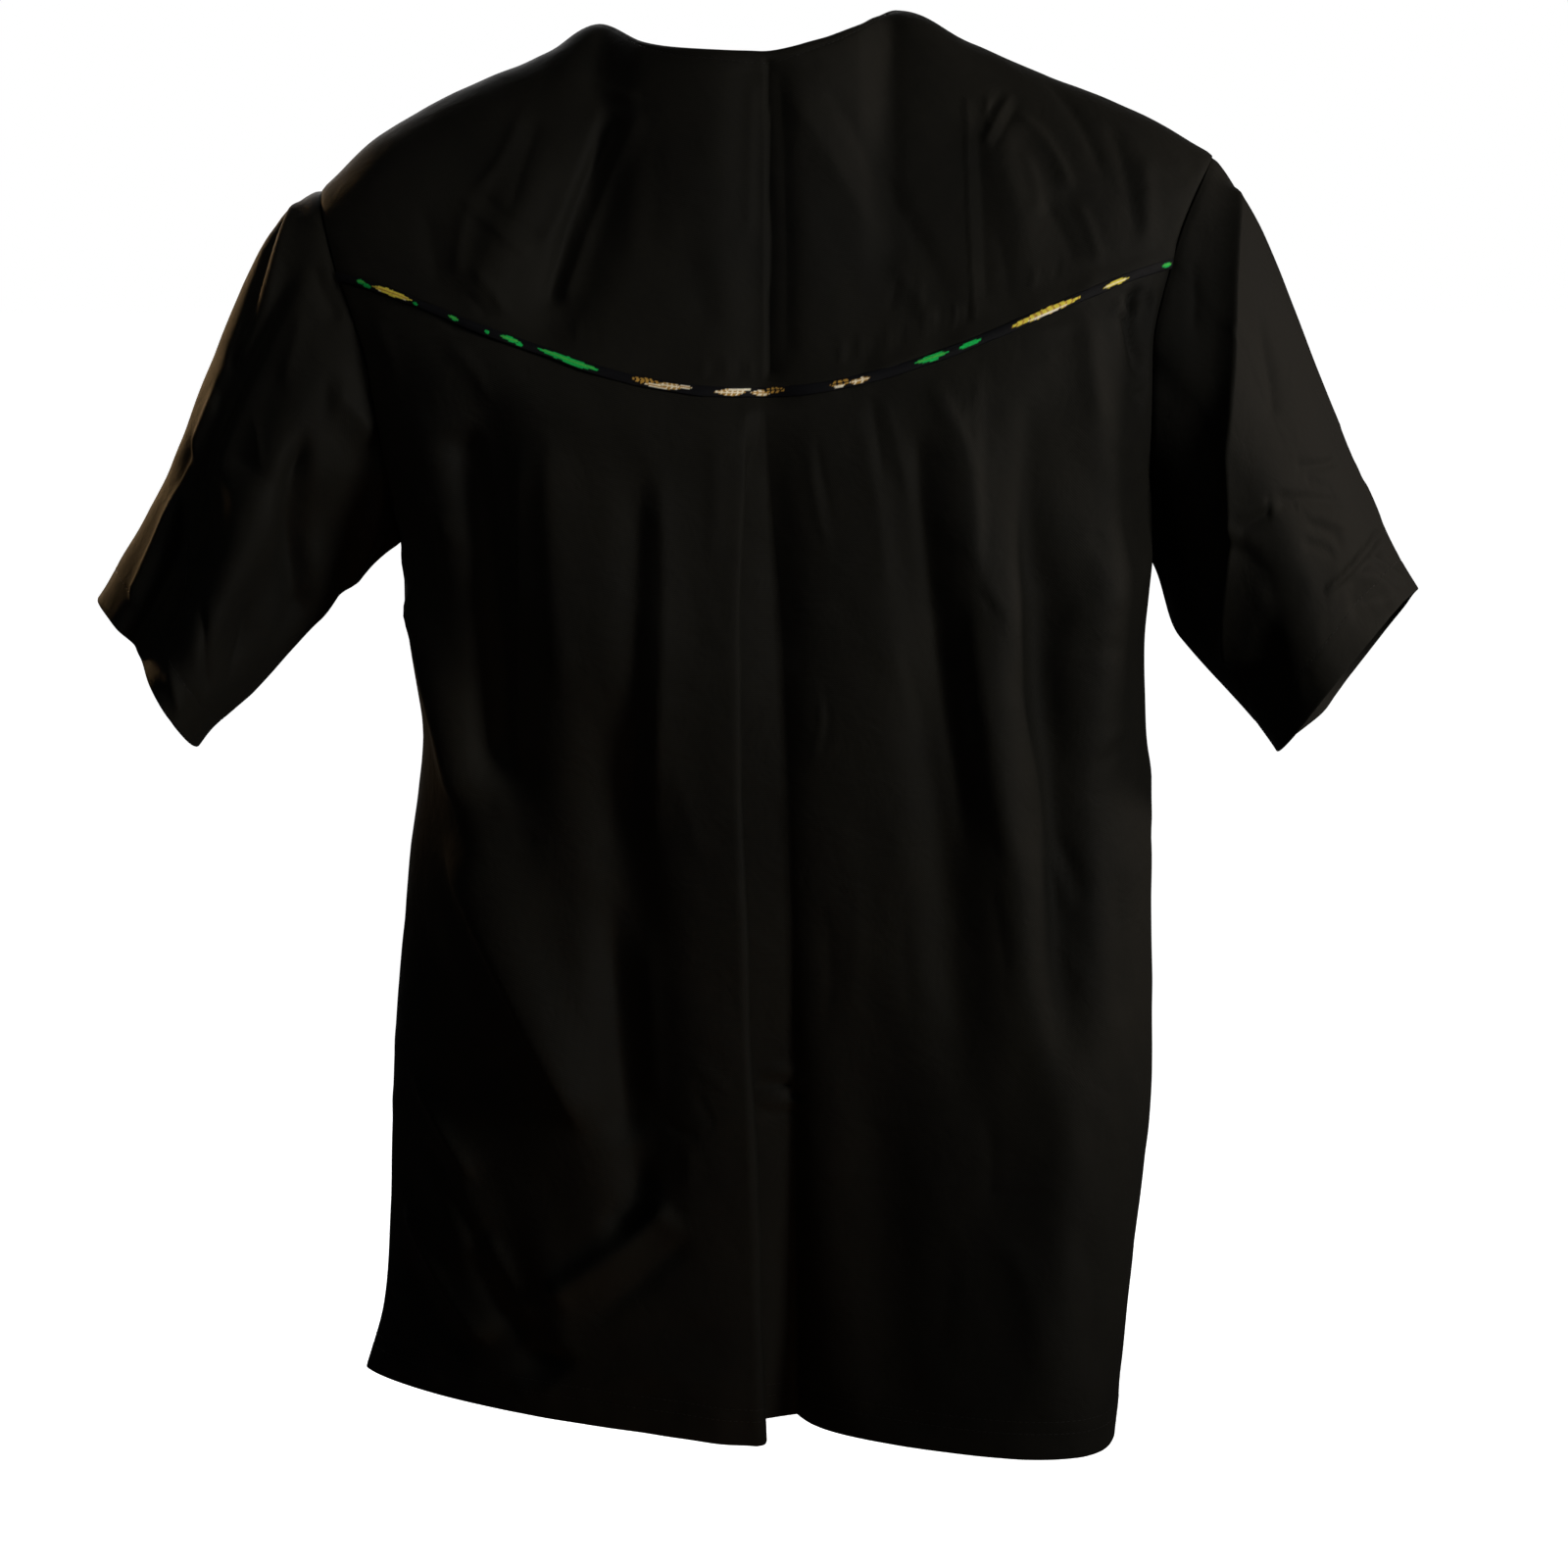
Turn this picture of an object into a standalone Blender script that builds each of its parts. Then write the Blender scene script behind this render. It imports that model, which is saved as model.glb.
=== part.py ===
"""Short-sleeved pullover dashiki shirt of black cotton, shown from its back.

The shirt is filled out as if worn: a hollow, rounded body with open neck, hem
and cuffs. Each piece that is cut and sewn is a cloth wall of its own: the back
yoke, the back with its centre pleat, the front, two sleeves, and the printed
piping in the yoke seam. The frame is +Z up, the garment's back faces -Y, and
+X is the wearer's right side. The origin lies between the two neck points,
where the wearer's shoulders carry the shirt. All sizes are in metres.
"""
import math

import bpy
import numpy as np

WALL = 0.0014            # thickness of each cloth wall
SEAM = 0.0006            # clear distance between two pieces along a seam
PIPING_TALL = 0.0048     # visible height of the printed piping
PIPING_THICK = 0.0016    # thickness of the folded piping strip
SEAM_SWEEP = 1.3         # how pointed the curve of the yoke seam is

# Columns across a panel and rows down it.
SIDE_COLS = 17           # from each side of the back to the pleat
YOKE_ROWS = 10
BACK_ROWS_N = 27
FRONT_COLS = 25
FRONT_ROWS_N = 22
SLEEVE_RINGS = 12
PIPING_POINTS = 8

# The back's sections from the yoke seam to the hem. z_l, z_c and z_r are the
# heights at the left edge, centre and right edge; x and y place the two edges;
# d_l, d_c and d_r are how far the cloth stands out behind the line between the
# edges at the left quarter, centre and right quarter; turn is how far the
# section turns towards its edge, in degrees; n_l and n_r are the superellipse
# exponents of the left and right half, where more is squarer.
BACK_SECTIONS = [
    # v,    z_l,    z_c,    z_r,    x_l,    y_l,    x_r,    y_r,   d_l,   d_c,   d_r, turn, n_l, n_r
    (0.00, -0.131, -0.187, -0.124, -0.218, -0.048, 0.214, -0.048, 0.060, 0.064, 0.060, 42, 2.3, 2.4),
    (0.08, -0.172, -0.222, -0.170, -0.204, -0.060, 0.204, -0.060, 0.064, 0.062, 0.064, 50, 2.3, 2.5),
    (0.16, -0.218, -0.262, -0.218, -0.197, -0.055, 0.204, -0.056, 0.076, 0.068, 0.078, 62, 2.3, 2.7),
    (0.22, -0.252, -0.294, -0.254, -0.194, -0.030, 0.206, -0.030, 0.104, 0.094, 0.106, 80, 2.3, 2.9),
    (0.26, -0.275, -0.318, -0.280, -0.190, 0.000, 0.207, -0.004, 0.130, 0.126, 0.134, 90, 2.3, 3.0),
    (0.34, -0.326, -0.360, -0.328, -0.186, 0.000, 0.203, -0.006, 0.126, 0.128, 0.134, 90, 2.2, 3.1),
    (0.42, -0.372, -0.404, -0.374, -0.180, 0.000, 0.205, -0.008, 0.122, 0.124, 0.134, 90, 2.1, 3.2),
    (0.55, -0.452, -0.472, -0.454, -0.189, 0.000, 0.209, -0.008, 0.121, 0.120, 0.136, 90, 1.9, 3.5),
    (0.70, -0.546, -0.560, -0.548, -0.198, 0.000, 0.209, -0.008, 0.122, 0.116, 0.141, 90, 1.7, 4.0),
    (0.85, -0.640, -0.648, -0.642, -0.202, 0.000, 0.200, -0.008, 0.120, 0.114, 0.145, 90, 1.6, 4.6),
    (0.94, -0.696, -0.700, -0.702, -0.207, 0.000, 0.193, -0.008, 0.124, 0.118, 0.149, 90, 1.45, 5.4),
    (1.00, -0.731, -0.734, -0.738, -0.217, 0.000, 0.189, -0.008, 0.120, 0.116, 0.150, 90, 1.42, 6.2),
]

# The front's sections from the chest line to the hem, with the same meaning.
FRONT_SECTIONS = [
    # v,    z_l,    z_c,    z_r,    x_l,    y_l,    x_r,    y_r,   d_l,   d_c,   d_r, turn, n_l, n_r
    (0.00, -0.196, -0.200, -0.192, -0.200, 0.052, 0.206, 0.050, 0.048, 0.050, 0.048, 48, 2.4, 2.6),
    (0.08, -0.232, -0.238, -0.230, -0.196, 0.046, 0.205, 0.044, 0.062, 0.064, 0.062, 62, 2.4, 2.6),
    (0.15, -0.256, -0.270, -0.256, -0.194, 0.026, 0.206, 0.024, 0.090, 0.090, 0.090, 80, 2.4, 2.6),
    (0.20, -0.275, -0.296, -0.280, -0.190, 0.000, 0.207, -0.004, 0.114, 0.118, 0.114, 90, 2.4, 2.6),
    (0.31, -0.326, -0.340, -0.328, -0.187, 0.000, 0.201, -0.006, 0.112, 0.116, 0.114, 90, 2.4, 2.6),
    (0.41, -0.372, -0.384, -0.374, -0.182, 0.000, 0.202, -0.008, 0.108, 0.114, 0.112, 90, 2.4, 2.6),
    (0.55, -0.452, -0.458, -0.454, -0.188, 0.000, 0.206, -0.008, 0.108, 0.112, 0.114, 90, 2.4, 2.6),
    (0.70, -0.546, -0.549, -0.548, -0.197, 0.000, 0.206, -0.008, 0.110, 0.110, 0.116, 90, 2.4, 2.6),
    (0.85, -0.640, -0.641, -0.642, -0.201, 0.000, 0.199, -0.008, 0.112, 0.110, 0.116, 90, 2.4, 2.6),
    (1.00, -0.731, -0.732, -0.736, -0.217, 0.000, 0.190, -0.008, 0.114, 0.110, 0.118, 90, 2.4, 2.6),
]

# The line of the shoulders and neck, from the left armhole to the right one.
# y_back and z_back lie on the yoke's top edge, y_front and z_front on the
# front's; lean is how far back the cloth leans as it leaves the edge.
TOP_LINE = [
    # x,     y_back, z_back, y_front, z_front, lean
    (-0.231, 0.013, -0.089, 0.013, -0.089, 0.034),
    (-0.200, 0.013, -0.061, 0.013, -0.061, 0.040),
    (-0.152, 0.013, -0.035, 0.013, -0.035, 0.044),
    (-0.112, 0.013, -0.018, 0.013, -0.018, 0.046),
    (-0.084, 0.013, -0.003, 0.013, -0.003, 0.036),
    (-0.060, -0.026, -0.013, 0.040, -0.046, 0.022),
    (-0.030, -0.048, -0.017, 0.065, -0.086, 0.014),
    (0.000, -0.054, -0.018, 0.075, -0.103, 0.012),
    (0.026, -0.047, -0.013, 0.065, -0.086, 0.014),
    (0.052, -0.026, -0.004, 0.040, -0.042, 0.022),
    (0.072, 0.013, 0.004, 0.013, 0.004, 0.036),
    (0.112, 0.013, -0.013, 0.013, -0.013, 0.046),
    (0.160, 0.013, -0.033, 0.013, -0.033, 0.044),
    (0.205, 0.013, -0.051, 0.013, -0.051, 0.040),
    (0.240, 0.013, -0.071, 0.013, -0.071, 0.034),
]
NECK_COLUMNS = (-0.084, 0.072)       # the two neck points, kept as mesh columns

# The centre pleat of the back. edge_x is the folded edge of the left half,
# valley_x the bottom of the fold; lap is how far the cloth runs back under the
# left half; step is the depth between layers; valley is the depth of the fold's
# bottom behind the left half; low is how much lower the folded edge hangs.
PLEAT = [
    # v,    edge_x, valley_x, lap,   step,   valley, low
    (0.00, -0.006, 0.003, 0.0000, 0.0022, 0.000, 0.000),
    (0.10, -0.009, 0.005, 0.0015, 0.0024, 0.009, 0.000),
    (0.25, -0.012, 0.011, 0.0050, 0.0028, 0.012, 0.000),
    (0.50, -0.010, 0.017, 0.0100, 0.0032, 0.015, 0.000),
    (0.75, -0.005, 0.019, 0.0130, 0.0040, 0.025, 0.001),
    (1.00, -0.001, 0.020, 0.0150, 0.0056, 0.047, 0.004),
]
VALLEY_REACH = 0.052      # how far the fold's bottom eases out to the right
# One pass across the pleat: lap counts laps (0 the folded edge, -1 the inner
# fold), bow is how far each fold bulges sideways and depth how deep it lies,
# both in steps.
PLEAT_COURSE = [
    # lap,  bow,   depth
    (0.00, 0.00, 0.00),
    (0.00, 0.72, 0.30),
    (0.00, 1.00, 1.00),
    (0.00, 0.72, 1.70),
    (-0.10, 0.00, 2.00),
    (-0.90, 0.00, 2.00),
    (-1.00, -0.72, 2.30),
    (-1.00, -1.00, 3.00),
    (-1.00, -0.72, 3.70),
    (-0.90, 0.00, 4.00),
]

# Soft folds of the back and yoke: three points of the fold's line across the
# back (x, z), its half width, how far it stands out (minus: a trough), and the
# share of its length over which it fades in and out.
BACK_FOLDS = [
    # x1,    z1,     x2,     z2,     x3,     z3,    half,   out,   fade
    (0.002, -0.010, 0.002, -0.110, 0.003, -0.200, 0.020, -0.0065, 0.10),
    (0.006, -0.180, 0.010, -0.290, 0.016, -0.400, 0.016, -0.0050, 0.30),
    (-0.062, -0.045, -0.090, -0.110, -0.112, -0.178, 0.020, -0.0090, 0.35),
    (-0.102, -0.052, -0.128, -0.110, -0.150, -0.160, 0.016, 0.0050, 0.40),
    (-0.160, -0.180, -0.132, -0.270, -0.132, -0.440, 0.020, -0.0110, 0.35),
    (-0.176, -0.290, -0.142, -0.430, -0.078, -0.610, 0.022, 0.0125, 0.30),
    (-0.090, -0.300, -0.064, -0.480, -0.062, -0.660, 0.024, -0.0110, 0.30),
    (-0.178, -0.560, -0.156, -0.640, -0.128, -0.715, 0.016, 0.0080, 0.35),
    (-0.156, -0.640, -0.120, -0.690, -0.098, -0.740, 0.014, -0.0070, 0.35),
    (-0.118, -0.640, -0.108, -0.680, -0.094, -0.730, 0.014, 0.0050, 0.35),
    (0.094, -0.170, 0.120, -0.330, 0.136, -0.520, 0.018, 0.0075, 0.30),
    (0.076, -0.200, 0.092, -0.390, 0.108, -0.560, 0.018, -0.0075, 0.30),
    (0.136, -0.220, 0.150, -0.370, 0.160, -0.560, 0.016, -0.0095, 0.30),
    (0.168, -0.160, 0.178, -0.260, 0.176, -0.400, 0.018, 0.0080, 0.35),
    (0.150, -0.480, 0.156, -0.600, 0.140, -0.730, 0.022, 0.0060, 0.30),
    (0.060, -0.480, 0.066, -0.620, 0.074, -0.745, 0.024, -0.0050, 0.30),
    (0.118, -0.045, 0.128, -0.080, 0.140, -0.140, 0.014, 0.0045, 0.40),
]

# Soft folds of the hidden front, of the same kind.
FRONT_FOLDS = [
    # x1,    z1,     x2,     z2,     x3,     z3,    half,   out,   fade
    (-0.150, -0.160, -0.130, -0.300, -0.118, -0.480, 0.022, -0.0090, 0.35),
    (-0.110, -0.200, -0.096, -0.400, -0.106, -0.640, 0.022, 0.0080, 0.35),
    (-0.062, -0.330, -0.050, -0.500, -0.058, -0.740, 0.024, -0.0080, 0.30),
    (-0.006, -0.180, 0.004, -0.420, -0.004, -0.700, 0.026, 0.0060, 0.35),
    (0.052, -0.300, 0.060, -0.500, 0.050, -0.745, 0.024, -0.0085, 0.30),
    (0.100, -0.180, 0.110, -0.380, 0.112, -0.600, 0.022, 0.0080, 0.35),
    (0.156, -0.170, 0.146, -0.300, 0.148, -0.500, 0.020, -0.0090, 0.35),
    (-0.160, -0.520, -0.166, -0.620, -0.158, -0.735, 0.020, 0.0070, 0.35),
    (0.160, -0.500, 0.156, -0.620, 0.160, -0.735, 0.020, 0.0070, 0.35),
]

# The cuffs: centre, the half width from the centre to the outer edge, and the
# half depth from the centre to the back edge, each as x, y, z.
CUFFS = {
    "left": ((-0.327, 0.000, -0.343), (-0.0265, 0.012, 0.0380), (0.012, -0.080, -0.002)),
    "right": ((0.319, 0.000, -0.342), (0.0330, 0.012, 0.0385), (-0.015, -0.080, 0.008)),
}
# How the sleeve leaves the armhole at its top, back, underarm and front: the
# direction outwards and down, the length of that lead, and the clear distance
# from the body's edge, which is wider where the walls meet at an angle.
SLEEVE_LEADS = [
    # side,   place, out,   back,   up,   length, clear
    ("left", "top", 0.97, 0.00, -0.24, 0.044, 0.0007),
    ("left", "back", 0.72, -0.34, -0.60, 0.075, 0.0011),
    ("left", "under", 0.92, 0.00, -0.42, 0.026, 0.0022),
    ("left", "front", 0.72, 0.34, -0.60, 0.075, 0.0011),
    ("right", "top", 0.70, 0.00, -0.71, 0.034, 0.0007),
    ("right", "back", 0.66, -0.34, -0.66, 0.070, 0.0013),
    ("right", "under", 0.50, 0.00, -0.86, 0.060, 0.0036),
    ("right", "front", 0.66, 0.34, -0.66, 0.070, 0.0012),
]
# Soft folds of the sleeves: where each runs around the sleeve (0 top, 90 back,
# 180 underarm, 270 front, in degrees) at the armhole and at the cuff, its start
# and end along the sleeve, its half width in degrees and how far it stands out.
SLEEVE_FOLDS = [
    # side,   a_start, a_end, s_start, s_end, half, out
    ("left", 38, 50, 0.02, 1.00, 17, -0.0120),
    ("left", 68, 70, 0.50, 1.00, 20, -0.0150),
    ("left", 180, 184, 0.25, 0.96, 40, 0.0060),
    ("left", 0, 0, 0.12, 0.92, 30, -0.0075),
    ("left", 14, 18, 0.05, 1.00, 15, 0.0050),
    ("left", 84, 92, 0.25, 1.00, 22, 0.0065),
    ("left", 130, 128, 0.10, 0.85, 20, -0.0080),
    ("left", 228, 236, 0.10, 1.00, 24, -0.0070),
    ("left", 286, 300, 0.15, 1.00, 24, 0.0060),
    ("right", 62, 90, 0.04, 1.00, 14, 0.0090),
    ("right", 104, 132, 0.05, 0.95, 22, -0.0110),
    ("right", 0, 0, 0.10, 1.00, 24, 0.0030),
    ("right", 176, 176, 0.02, 1.00, 46, 0.0110),
    ("right", 132, 132, 0.60, 1.00, 20, -0.0080),
    ("right", 236, 228, 0.10, 1.00, 24, -0.0070),
    ("right", 292, 304, 0.15, 1.00, 24, 0.0060),
]

CLOTH_BLACK = (0.010, 0.010, 0.011, 1.0)
PIPING_PRINT = (0.020, 0.040, 0.030, 1.0)


def clear_scene():
    for ob in list(bpy.data.objects):
        bpy.data.objects.remove(ob, do_unlink=True)


def smooth_step(t):
    t = np.clip(t, 0.0, 1.0)
    return t * t * (3.0 - 2.0 * t)


def curve_at(table, column, t):
    """Smooth curve through one column of a table, by Hermite pieces along its first."""
    knots = np.array([row[0] for row in table], float)
    values = np.array([row[column] for row in table], float)
    slopes = np.diff(values) / np.diff(knots)
    tangents = np.concatenate(([slopes[0]], 0.5 * (slopes[1:] + slopes[:-1]), [slopes[-1]]))
    flat = np.concatenate(([False], slopes[1:] * slopes[:-1] <= 0.0, [False]))
    tangents[flat] = 0.0
    t = np.clip(np.asarray(t, float), knots[0], knots[-1])
    k = np.clip(np.searchsorted(knots, t, side="right") - 1, 0, len(knots) - 2)
    h = knots[k + 1] - knots[k]
    s = (t - knots[k]) / h
    return ((1 + 2 * s) * (1 - s) ** 2 * values[k] + s * (1 - s) ** 2 * h * tangents[k]
            + s * s * (3 - 2 * s) * values[k + 1] + s * s * (s - 1) * h * tangents[k + 1])


def section_point(table, facing, f, v):
    """Point of a body section: a superellipse arc between its two edges.

    f runs from -1 at the left edge to 1 at the right one and v from the first
    section to the last; facing is -1 for the back and 1 for the front.
    """
    (z_l, z_c, z_r, x_l, y_l, x_r, y_r, d_l, d_c, d_r, turn, n_l, n_r) = (
        curve_at(table, c, v) for c in range(1, 14))
    turn = np.minimum(turn, 90.0)
    phi = np.radians(turn) * f
    power = 2.0 / (n_l + (n_r - n_l) * smooth_step(0.5 + 1.5 * np.asarray(f, float)))
    full = np.radians(turn)
    across = np.sign(phi) * np.abs(np.sin(phi)) ** power / np.sin(full) ** power
    edge = np.maximum(np.cos(full), 0.0) ** power
    rise = (np.maximum(np.cos(phi), 0.0) ** power - edge) / (1.0 - edge)
    share = 0.5 * (across + 1.0)
    x = x_l + (x_r - x_l) * share
    side = np.clip(across * 1.2, -1.0, 1.0)
    out = d_c + np.where(side < 0, (d_l - d_c), (d_r - d_c)) * smooth_step(np.abs(side))
    y = y_l + (y_r - y_l) * share + facing * out * rise
    bow = np.cos(0.5 * np.pi * np.clip(across, -1, 1)) ** SEAM_SWEEP
    z_edge = z_l + (z_r - z_l) * share
    z = z_edge + (z_c - 0.5 * (z_l + z_r)) * bow
    return np.stack([x, y, z], -1)


def fraction_for_x(table, x, v):
    """The f whose section point has the given x, by halving."""
    low = np.full(np.shape(x), -1.0)
    high = np.full(np.shape(x), 1.0)
    for _ in range(40):
        mid = 0.5 * (low + high)
        right = section_point(table, -1, mid, v)[..., 0] > x
        high = np.where(right, mid, high)
        low = np.where(right, low, mid)
    return 0.5 * (low + high)


def fold_height(folds, x, z):
    """Sum of the soft folds at points (x, z): a bell across each fold's line."""
    total = np.zeros(np.shape(x))
    t = np.linspace(0.0, 1.0, 33)
    for x1, z1, x2, z2, x3, z3, half, out, fade in folds:
        px = (1 - t) ** 2 * x1 + 2 * t * (1 - t) * (2 * x2 - 0.5 * (x1 + x3)) + t * t * x3
        pz = (1 - t) ** 2 * z1 + 2 * t * (1 - t) * (2 * z2 - 0.5 * (z1 + z3)) + t * t * z3
        far = np.hypot(x[..., None] - px, z[..., None] - pz)
        near = far.argmin(-1)
        along = t[near]
        bell = np.exp(-1.6 * (far.min(-1) / half) ** 2)
        total += out * bell * smooth_step(along / fade) * smooth_step((1 - along) / fade * 1.4 + 0.0)
    return total


def with_folds(points, folds, facing, f):
    """Moves body points along the section's outward direction by the folds."""
    keep = smooth_step((1.0 - np.abs(f)) / 0.16)
    height = fold_height(folds, points[..., 0], points[..., 2]) * keep
    lean = np.clip(points[..., 0] / 0.21, -1, 1) ** 3
    moved = points.copy()
    moved[..., 0] += height * lean * 0.8
    moved[..., 1] += height * facing * np.sqrt(1 - 0.6 * lean ** 2)
    return moved


def back_point(f, v):
    return with_folds(section_point(BACK_SECTIONS, -1, f, v), BACK_FOLDS, -1, f)


def front_point(f, v):
    return with_folds(section_point(FRONT_SECTIONS, 1, f, v), FRONT_FOLDS, 1, f)


def pleat_columns(v):
    """Columns of the centre pleat for rows v: folded edge, return, inner fold, strip."""
    edge_x, valley_x, lap, step, valley, low = (curve_at(PLEAT, c, v) for c in range(1, 7))
    f_edge = fraction_for_x(BACK_SECTIONS, edge_x, v)
    f_valley = fraction_for_x(BACK_SECTIONS, valley_x, v)
    edge = back_point(f_edge, v)
    bottom = back_point(f_valley, v)
    bottom[..., 1] += valley
    opened = smooth_step(v / 0.12)
    points = []
    for laps, bow, depth in PLEAT_COURSE:
        folded = edge.copy()
        folded[..., 0] += laps * lap + bow * step
        folded[..., 1] += depth * step
        folded[..., 2] -= low * (1.0 - 0.25 * depth)
        share = (len(points) + 0.5) / (len(PLEAT_COURSE) + 2.0)
        smooth = back_point(f_edge + (f_valley - f_edge) * share, v)
        smooth[..., 1] += valley * smooth_step(share)
        points.append(smooth + (folded - smooth) * opened[:, None])
    last = points[-1]
    points.append(last + (bottom - last) * 0.5)
    points.append(bottom)
    return f_edge, f_valley, valley, low, points


def back_grid():
    """Rows and columns of the back, from the left edge through the pleat to the right."""
    v = np.linspace(0.0, 1.0, BACK_ROWS_N)
    v = 0.75 * v + 0.25 * v ** 1.6
    f_edge, f_valley, valley, low, pleat = pleat_columns(v)
    columns = []
    for share in left_shares():
        column = back_point(-1.0 + (f_edge + 1.0) * share, v)
        column[..., 2] -= low * share ** 4
        columns.append(column)
    columns += pleat
    for share in right_shares():
        column = back_point(f_valley + (1.0 - f_valley) * share, v)
        away = column[..., 0] - pleat[-1][..., 0]
        column[..., 1] += valley * np.exp(-away / VALLEY_REACH)
        columns.append(column)
    return np.stack(columns, 1)


def seam_columns():
    """Section fractions of the back's columns along the yoke seam, thinned at the pleat."""
    f_edge, f_valley = (float(fraction_for_x(BACK_SECTIONS, np.array(PLEAT[0][c]), 0.0))
                        for c in (1, 2))
    left = -1.0 + (f_edge + 1.0) * left_shares()
    middle = f_edge + (f_valley - f_edge) * np.array([0.0, 0.35, 0.65, 1.0])
    right = f_valley + (1.0 - f_valley) * right_shares()
    return np.concatenate([left, middle, right])


def left_shares():
    return np.sin(0.5 * np.pi * np.arange(SIDE_COLS) / SIDE_COLS) ** 1.15


def right_shares():
    t = np.arange(1, SIDE_COLS + 1) / SIDE_COLS
    return 0.55 * t + 0.45 * (1.0 - np.cos(0.5 * np.pi * t))


def top_line_point(x, front):
    y = curve_at(TOP_LINE, 3 if front else 1, x)
    z = curve_at(TOP_LINE, 4 if front else 2, x)
    return np.stack([np.asarray(x, float), y, z], -1)


def yoke_point(f, w):
    """Yoke surface of rows w, from the shoulder and neck line down to the yoke seam."""
    seam = section_point(BACK_SECTIONS, -1, f, np.zeros(np.shape(f)))
    below = section_point(BACK_SECTIONS, -1, f, np.full(np.shape(f), 0.05))
    line = seam[0, :, 0]
    neck = [line[np.abs(line - x).argmin()] for x in NECK_COLUMNS]
    x_top = np.interp(seam[..., 0], [line[0], *neck, line[-1]],
                      [TOP_LINE[0][0], *NECK_COLUMNS, TOP_LINE[-1][0]])
    top = top_line_point(x_top, False)
    lean = curve_at(TOP_LINE, 5, x_top)
    lead = np.stack([np.zeros_like(lean), -lean, 0.10 * lean], -1)
    rise = seam - below
    rise = rise / np.linalg.norm(rise, axis=-1, keepdims=True)
    span = np.linalg.norm(seam - top, axis=-1, keepdims=True)
    w = np.asarray(w, float)[..., None]
    curve = ((1 - w) ** 3 * top + 3 * w * (1 - w) ** 2 * (top + lead)
             + 3 * w * w * (1 - w) * (seam + rise * span * 0.36) + w ** 3 * seam)
    return with_folds(curve, BACK_FOLDS, -1, f)


def yoke_grid():
    f = seam_columns()
    w = np.linspace(0.0, 1.0, YOKE_ROWS)
    grid_f, grid_w = np.meshgrid(f, w)
    points = yoke_point(grid_f, grid_w)
    points[-1] += (points[-2] - points[-1]) * (SEAM / np.linalg.norm(
        points[-2] - points[-1], axis=-1, keepdims=True))
    points[0] += (points[1] - points[0]) * (SEAM / np.linalg.norm(
        points[1] - points[0], axis=-1, keepdims=True))
    return points


def front_grid():
    """Front: Hermite leads from the shoulder and neck line to the chest, then sections."""
    left, right = (float(fraction_for_x(FRONT_SECTIONS, np.array(x), 0.0)) for x in NECK_COLUMNS)
    middle = float(fraction_for_x(FRONT_SECTIONS, np.array(0.0), 0.0))
    third = FRONT_COLS // 3
    f = np.concatenate([np.linspace(-1, left, third), np.linspace(left, middle, 6)[1:],
                        np.linspace(middle, right, 6)[1:], np.linspace(right, 1, third)[1:]])
    rows = []
    chest = section_point(FRONT_SECTIONS, 1, f, np.zeros(len(f)))
    below = section_point(FRONT_SECTIONS, 1, f, np.full(len(f), 0.04))
    ends = chest[0, 0], chest[-1, 0]
    x_top = np.interp(chest[:, 0], [ends[0], NECK_COLUMNS[0], NECK_COLUMNS[1], ends[1]],
                      [TOP_LINE[0][0], NECK_COLUMNS[0], NECK_COLUMNS[1], TOP_LINE[-1][0]])
    top = top_line_point(x_top, True)
    lean = 0.6 * curve_at(TOP_LINE, 5, x_top)
    lead = np.stack([np.zeros_like(lean), lean, -0.10 * lean], -1)
    rise = chest - below
    rise /= np.linalg.norm(rise, axis=-1, keepdims=True)
    span = np.linalg.norm(chest - top, axis=-1, keepdims=True)
    upper = 8
    for i in range(upper):
        w = i / upper
        curve = ((1 - w) ** 3 * top + 3 * w * (1 - w) ** 2 * (top + lead)
                 + 3 * w * w * (1 - w) * (chest + rise * span * 0.34) + w ** 3 * chest)
        rows.append(with_folds(curve, FRONT_FOLDS, 1, f))
    for v in np.linspace(0.0, 1.0, FRONT_ROWS_N - upper) ** 1.05:
        rows.append(front_point(f, np.full(len(f), v)))
    points = np.stack(rows)
    points[0] += (points[1] - points[0]) * (SEAM / np.linalg.norm(
        points[1] - points[0], axis=-1, keepdims=True))
    return points


def part_sides(grid, line, low, shift):
    """Lays a panel's edge points below the underarm on the side line, moved by a shift in y."""
    moved = grid.copy()
    for column in (0, -1):
        edge = moved[:, column]
        below = edge[:, 2] < low[column] + 0.004
        rows = line[::-1, column]
        for c in (0, 1):
            edge[below, c] = np.interp(edge[below, 2], rows[:, 2], rows[:, c])
        edge[below, 1] += shift
    return moved


def armhole_loop(column, yoke, back, front):
    """Closed loop of one armhole and its angles: top, down the back, underarm, up the front.

    The loop is made of the body pieces' own edge points; the angle of each one
    is its share of the length from the top to the underarm, as half a turn.
    """
    low = UNDERARM_Z[column] + 0.004
    down = np.concatenate([yoke[:, column], back[1:, column]])
    down = down[down[:, 2] > low]
    up = front[:, column]
    up = up[up[:, 2] > low][::-1]
    under = np.array([0.5 * (down[-1, 0] + up[0, 0]), -0.002, UNDERARM_Z[column]])
    angles = []
    for path in (np.vstack([down, under]), np.vstack([under, up])):
        steps = np.linalg.norm(np.diff(path, axis=0), axis=1)
        angles.append(np.pi * np.concatenate(([0.0], np.cumsum(steps))) / steps.sum())
    loop = np.vstack([down, under, up[:-1]])
    return loop, np.concatenate([angles[0], np.pi + angles[1][1:-1]])


UNDERARM_Z = {0: -0.2745, -1: -0.2795}


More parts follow.
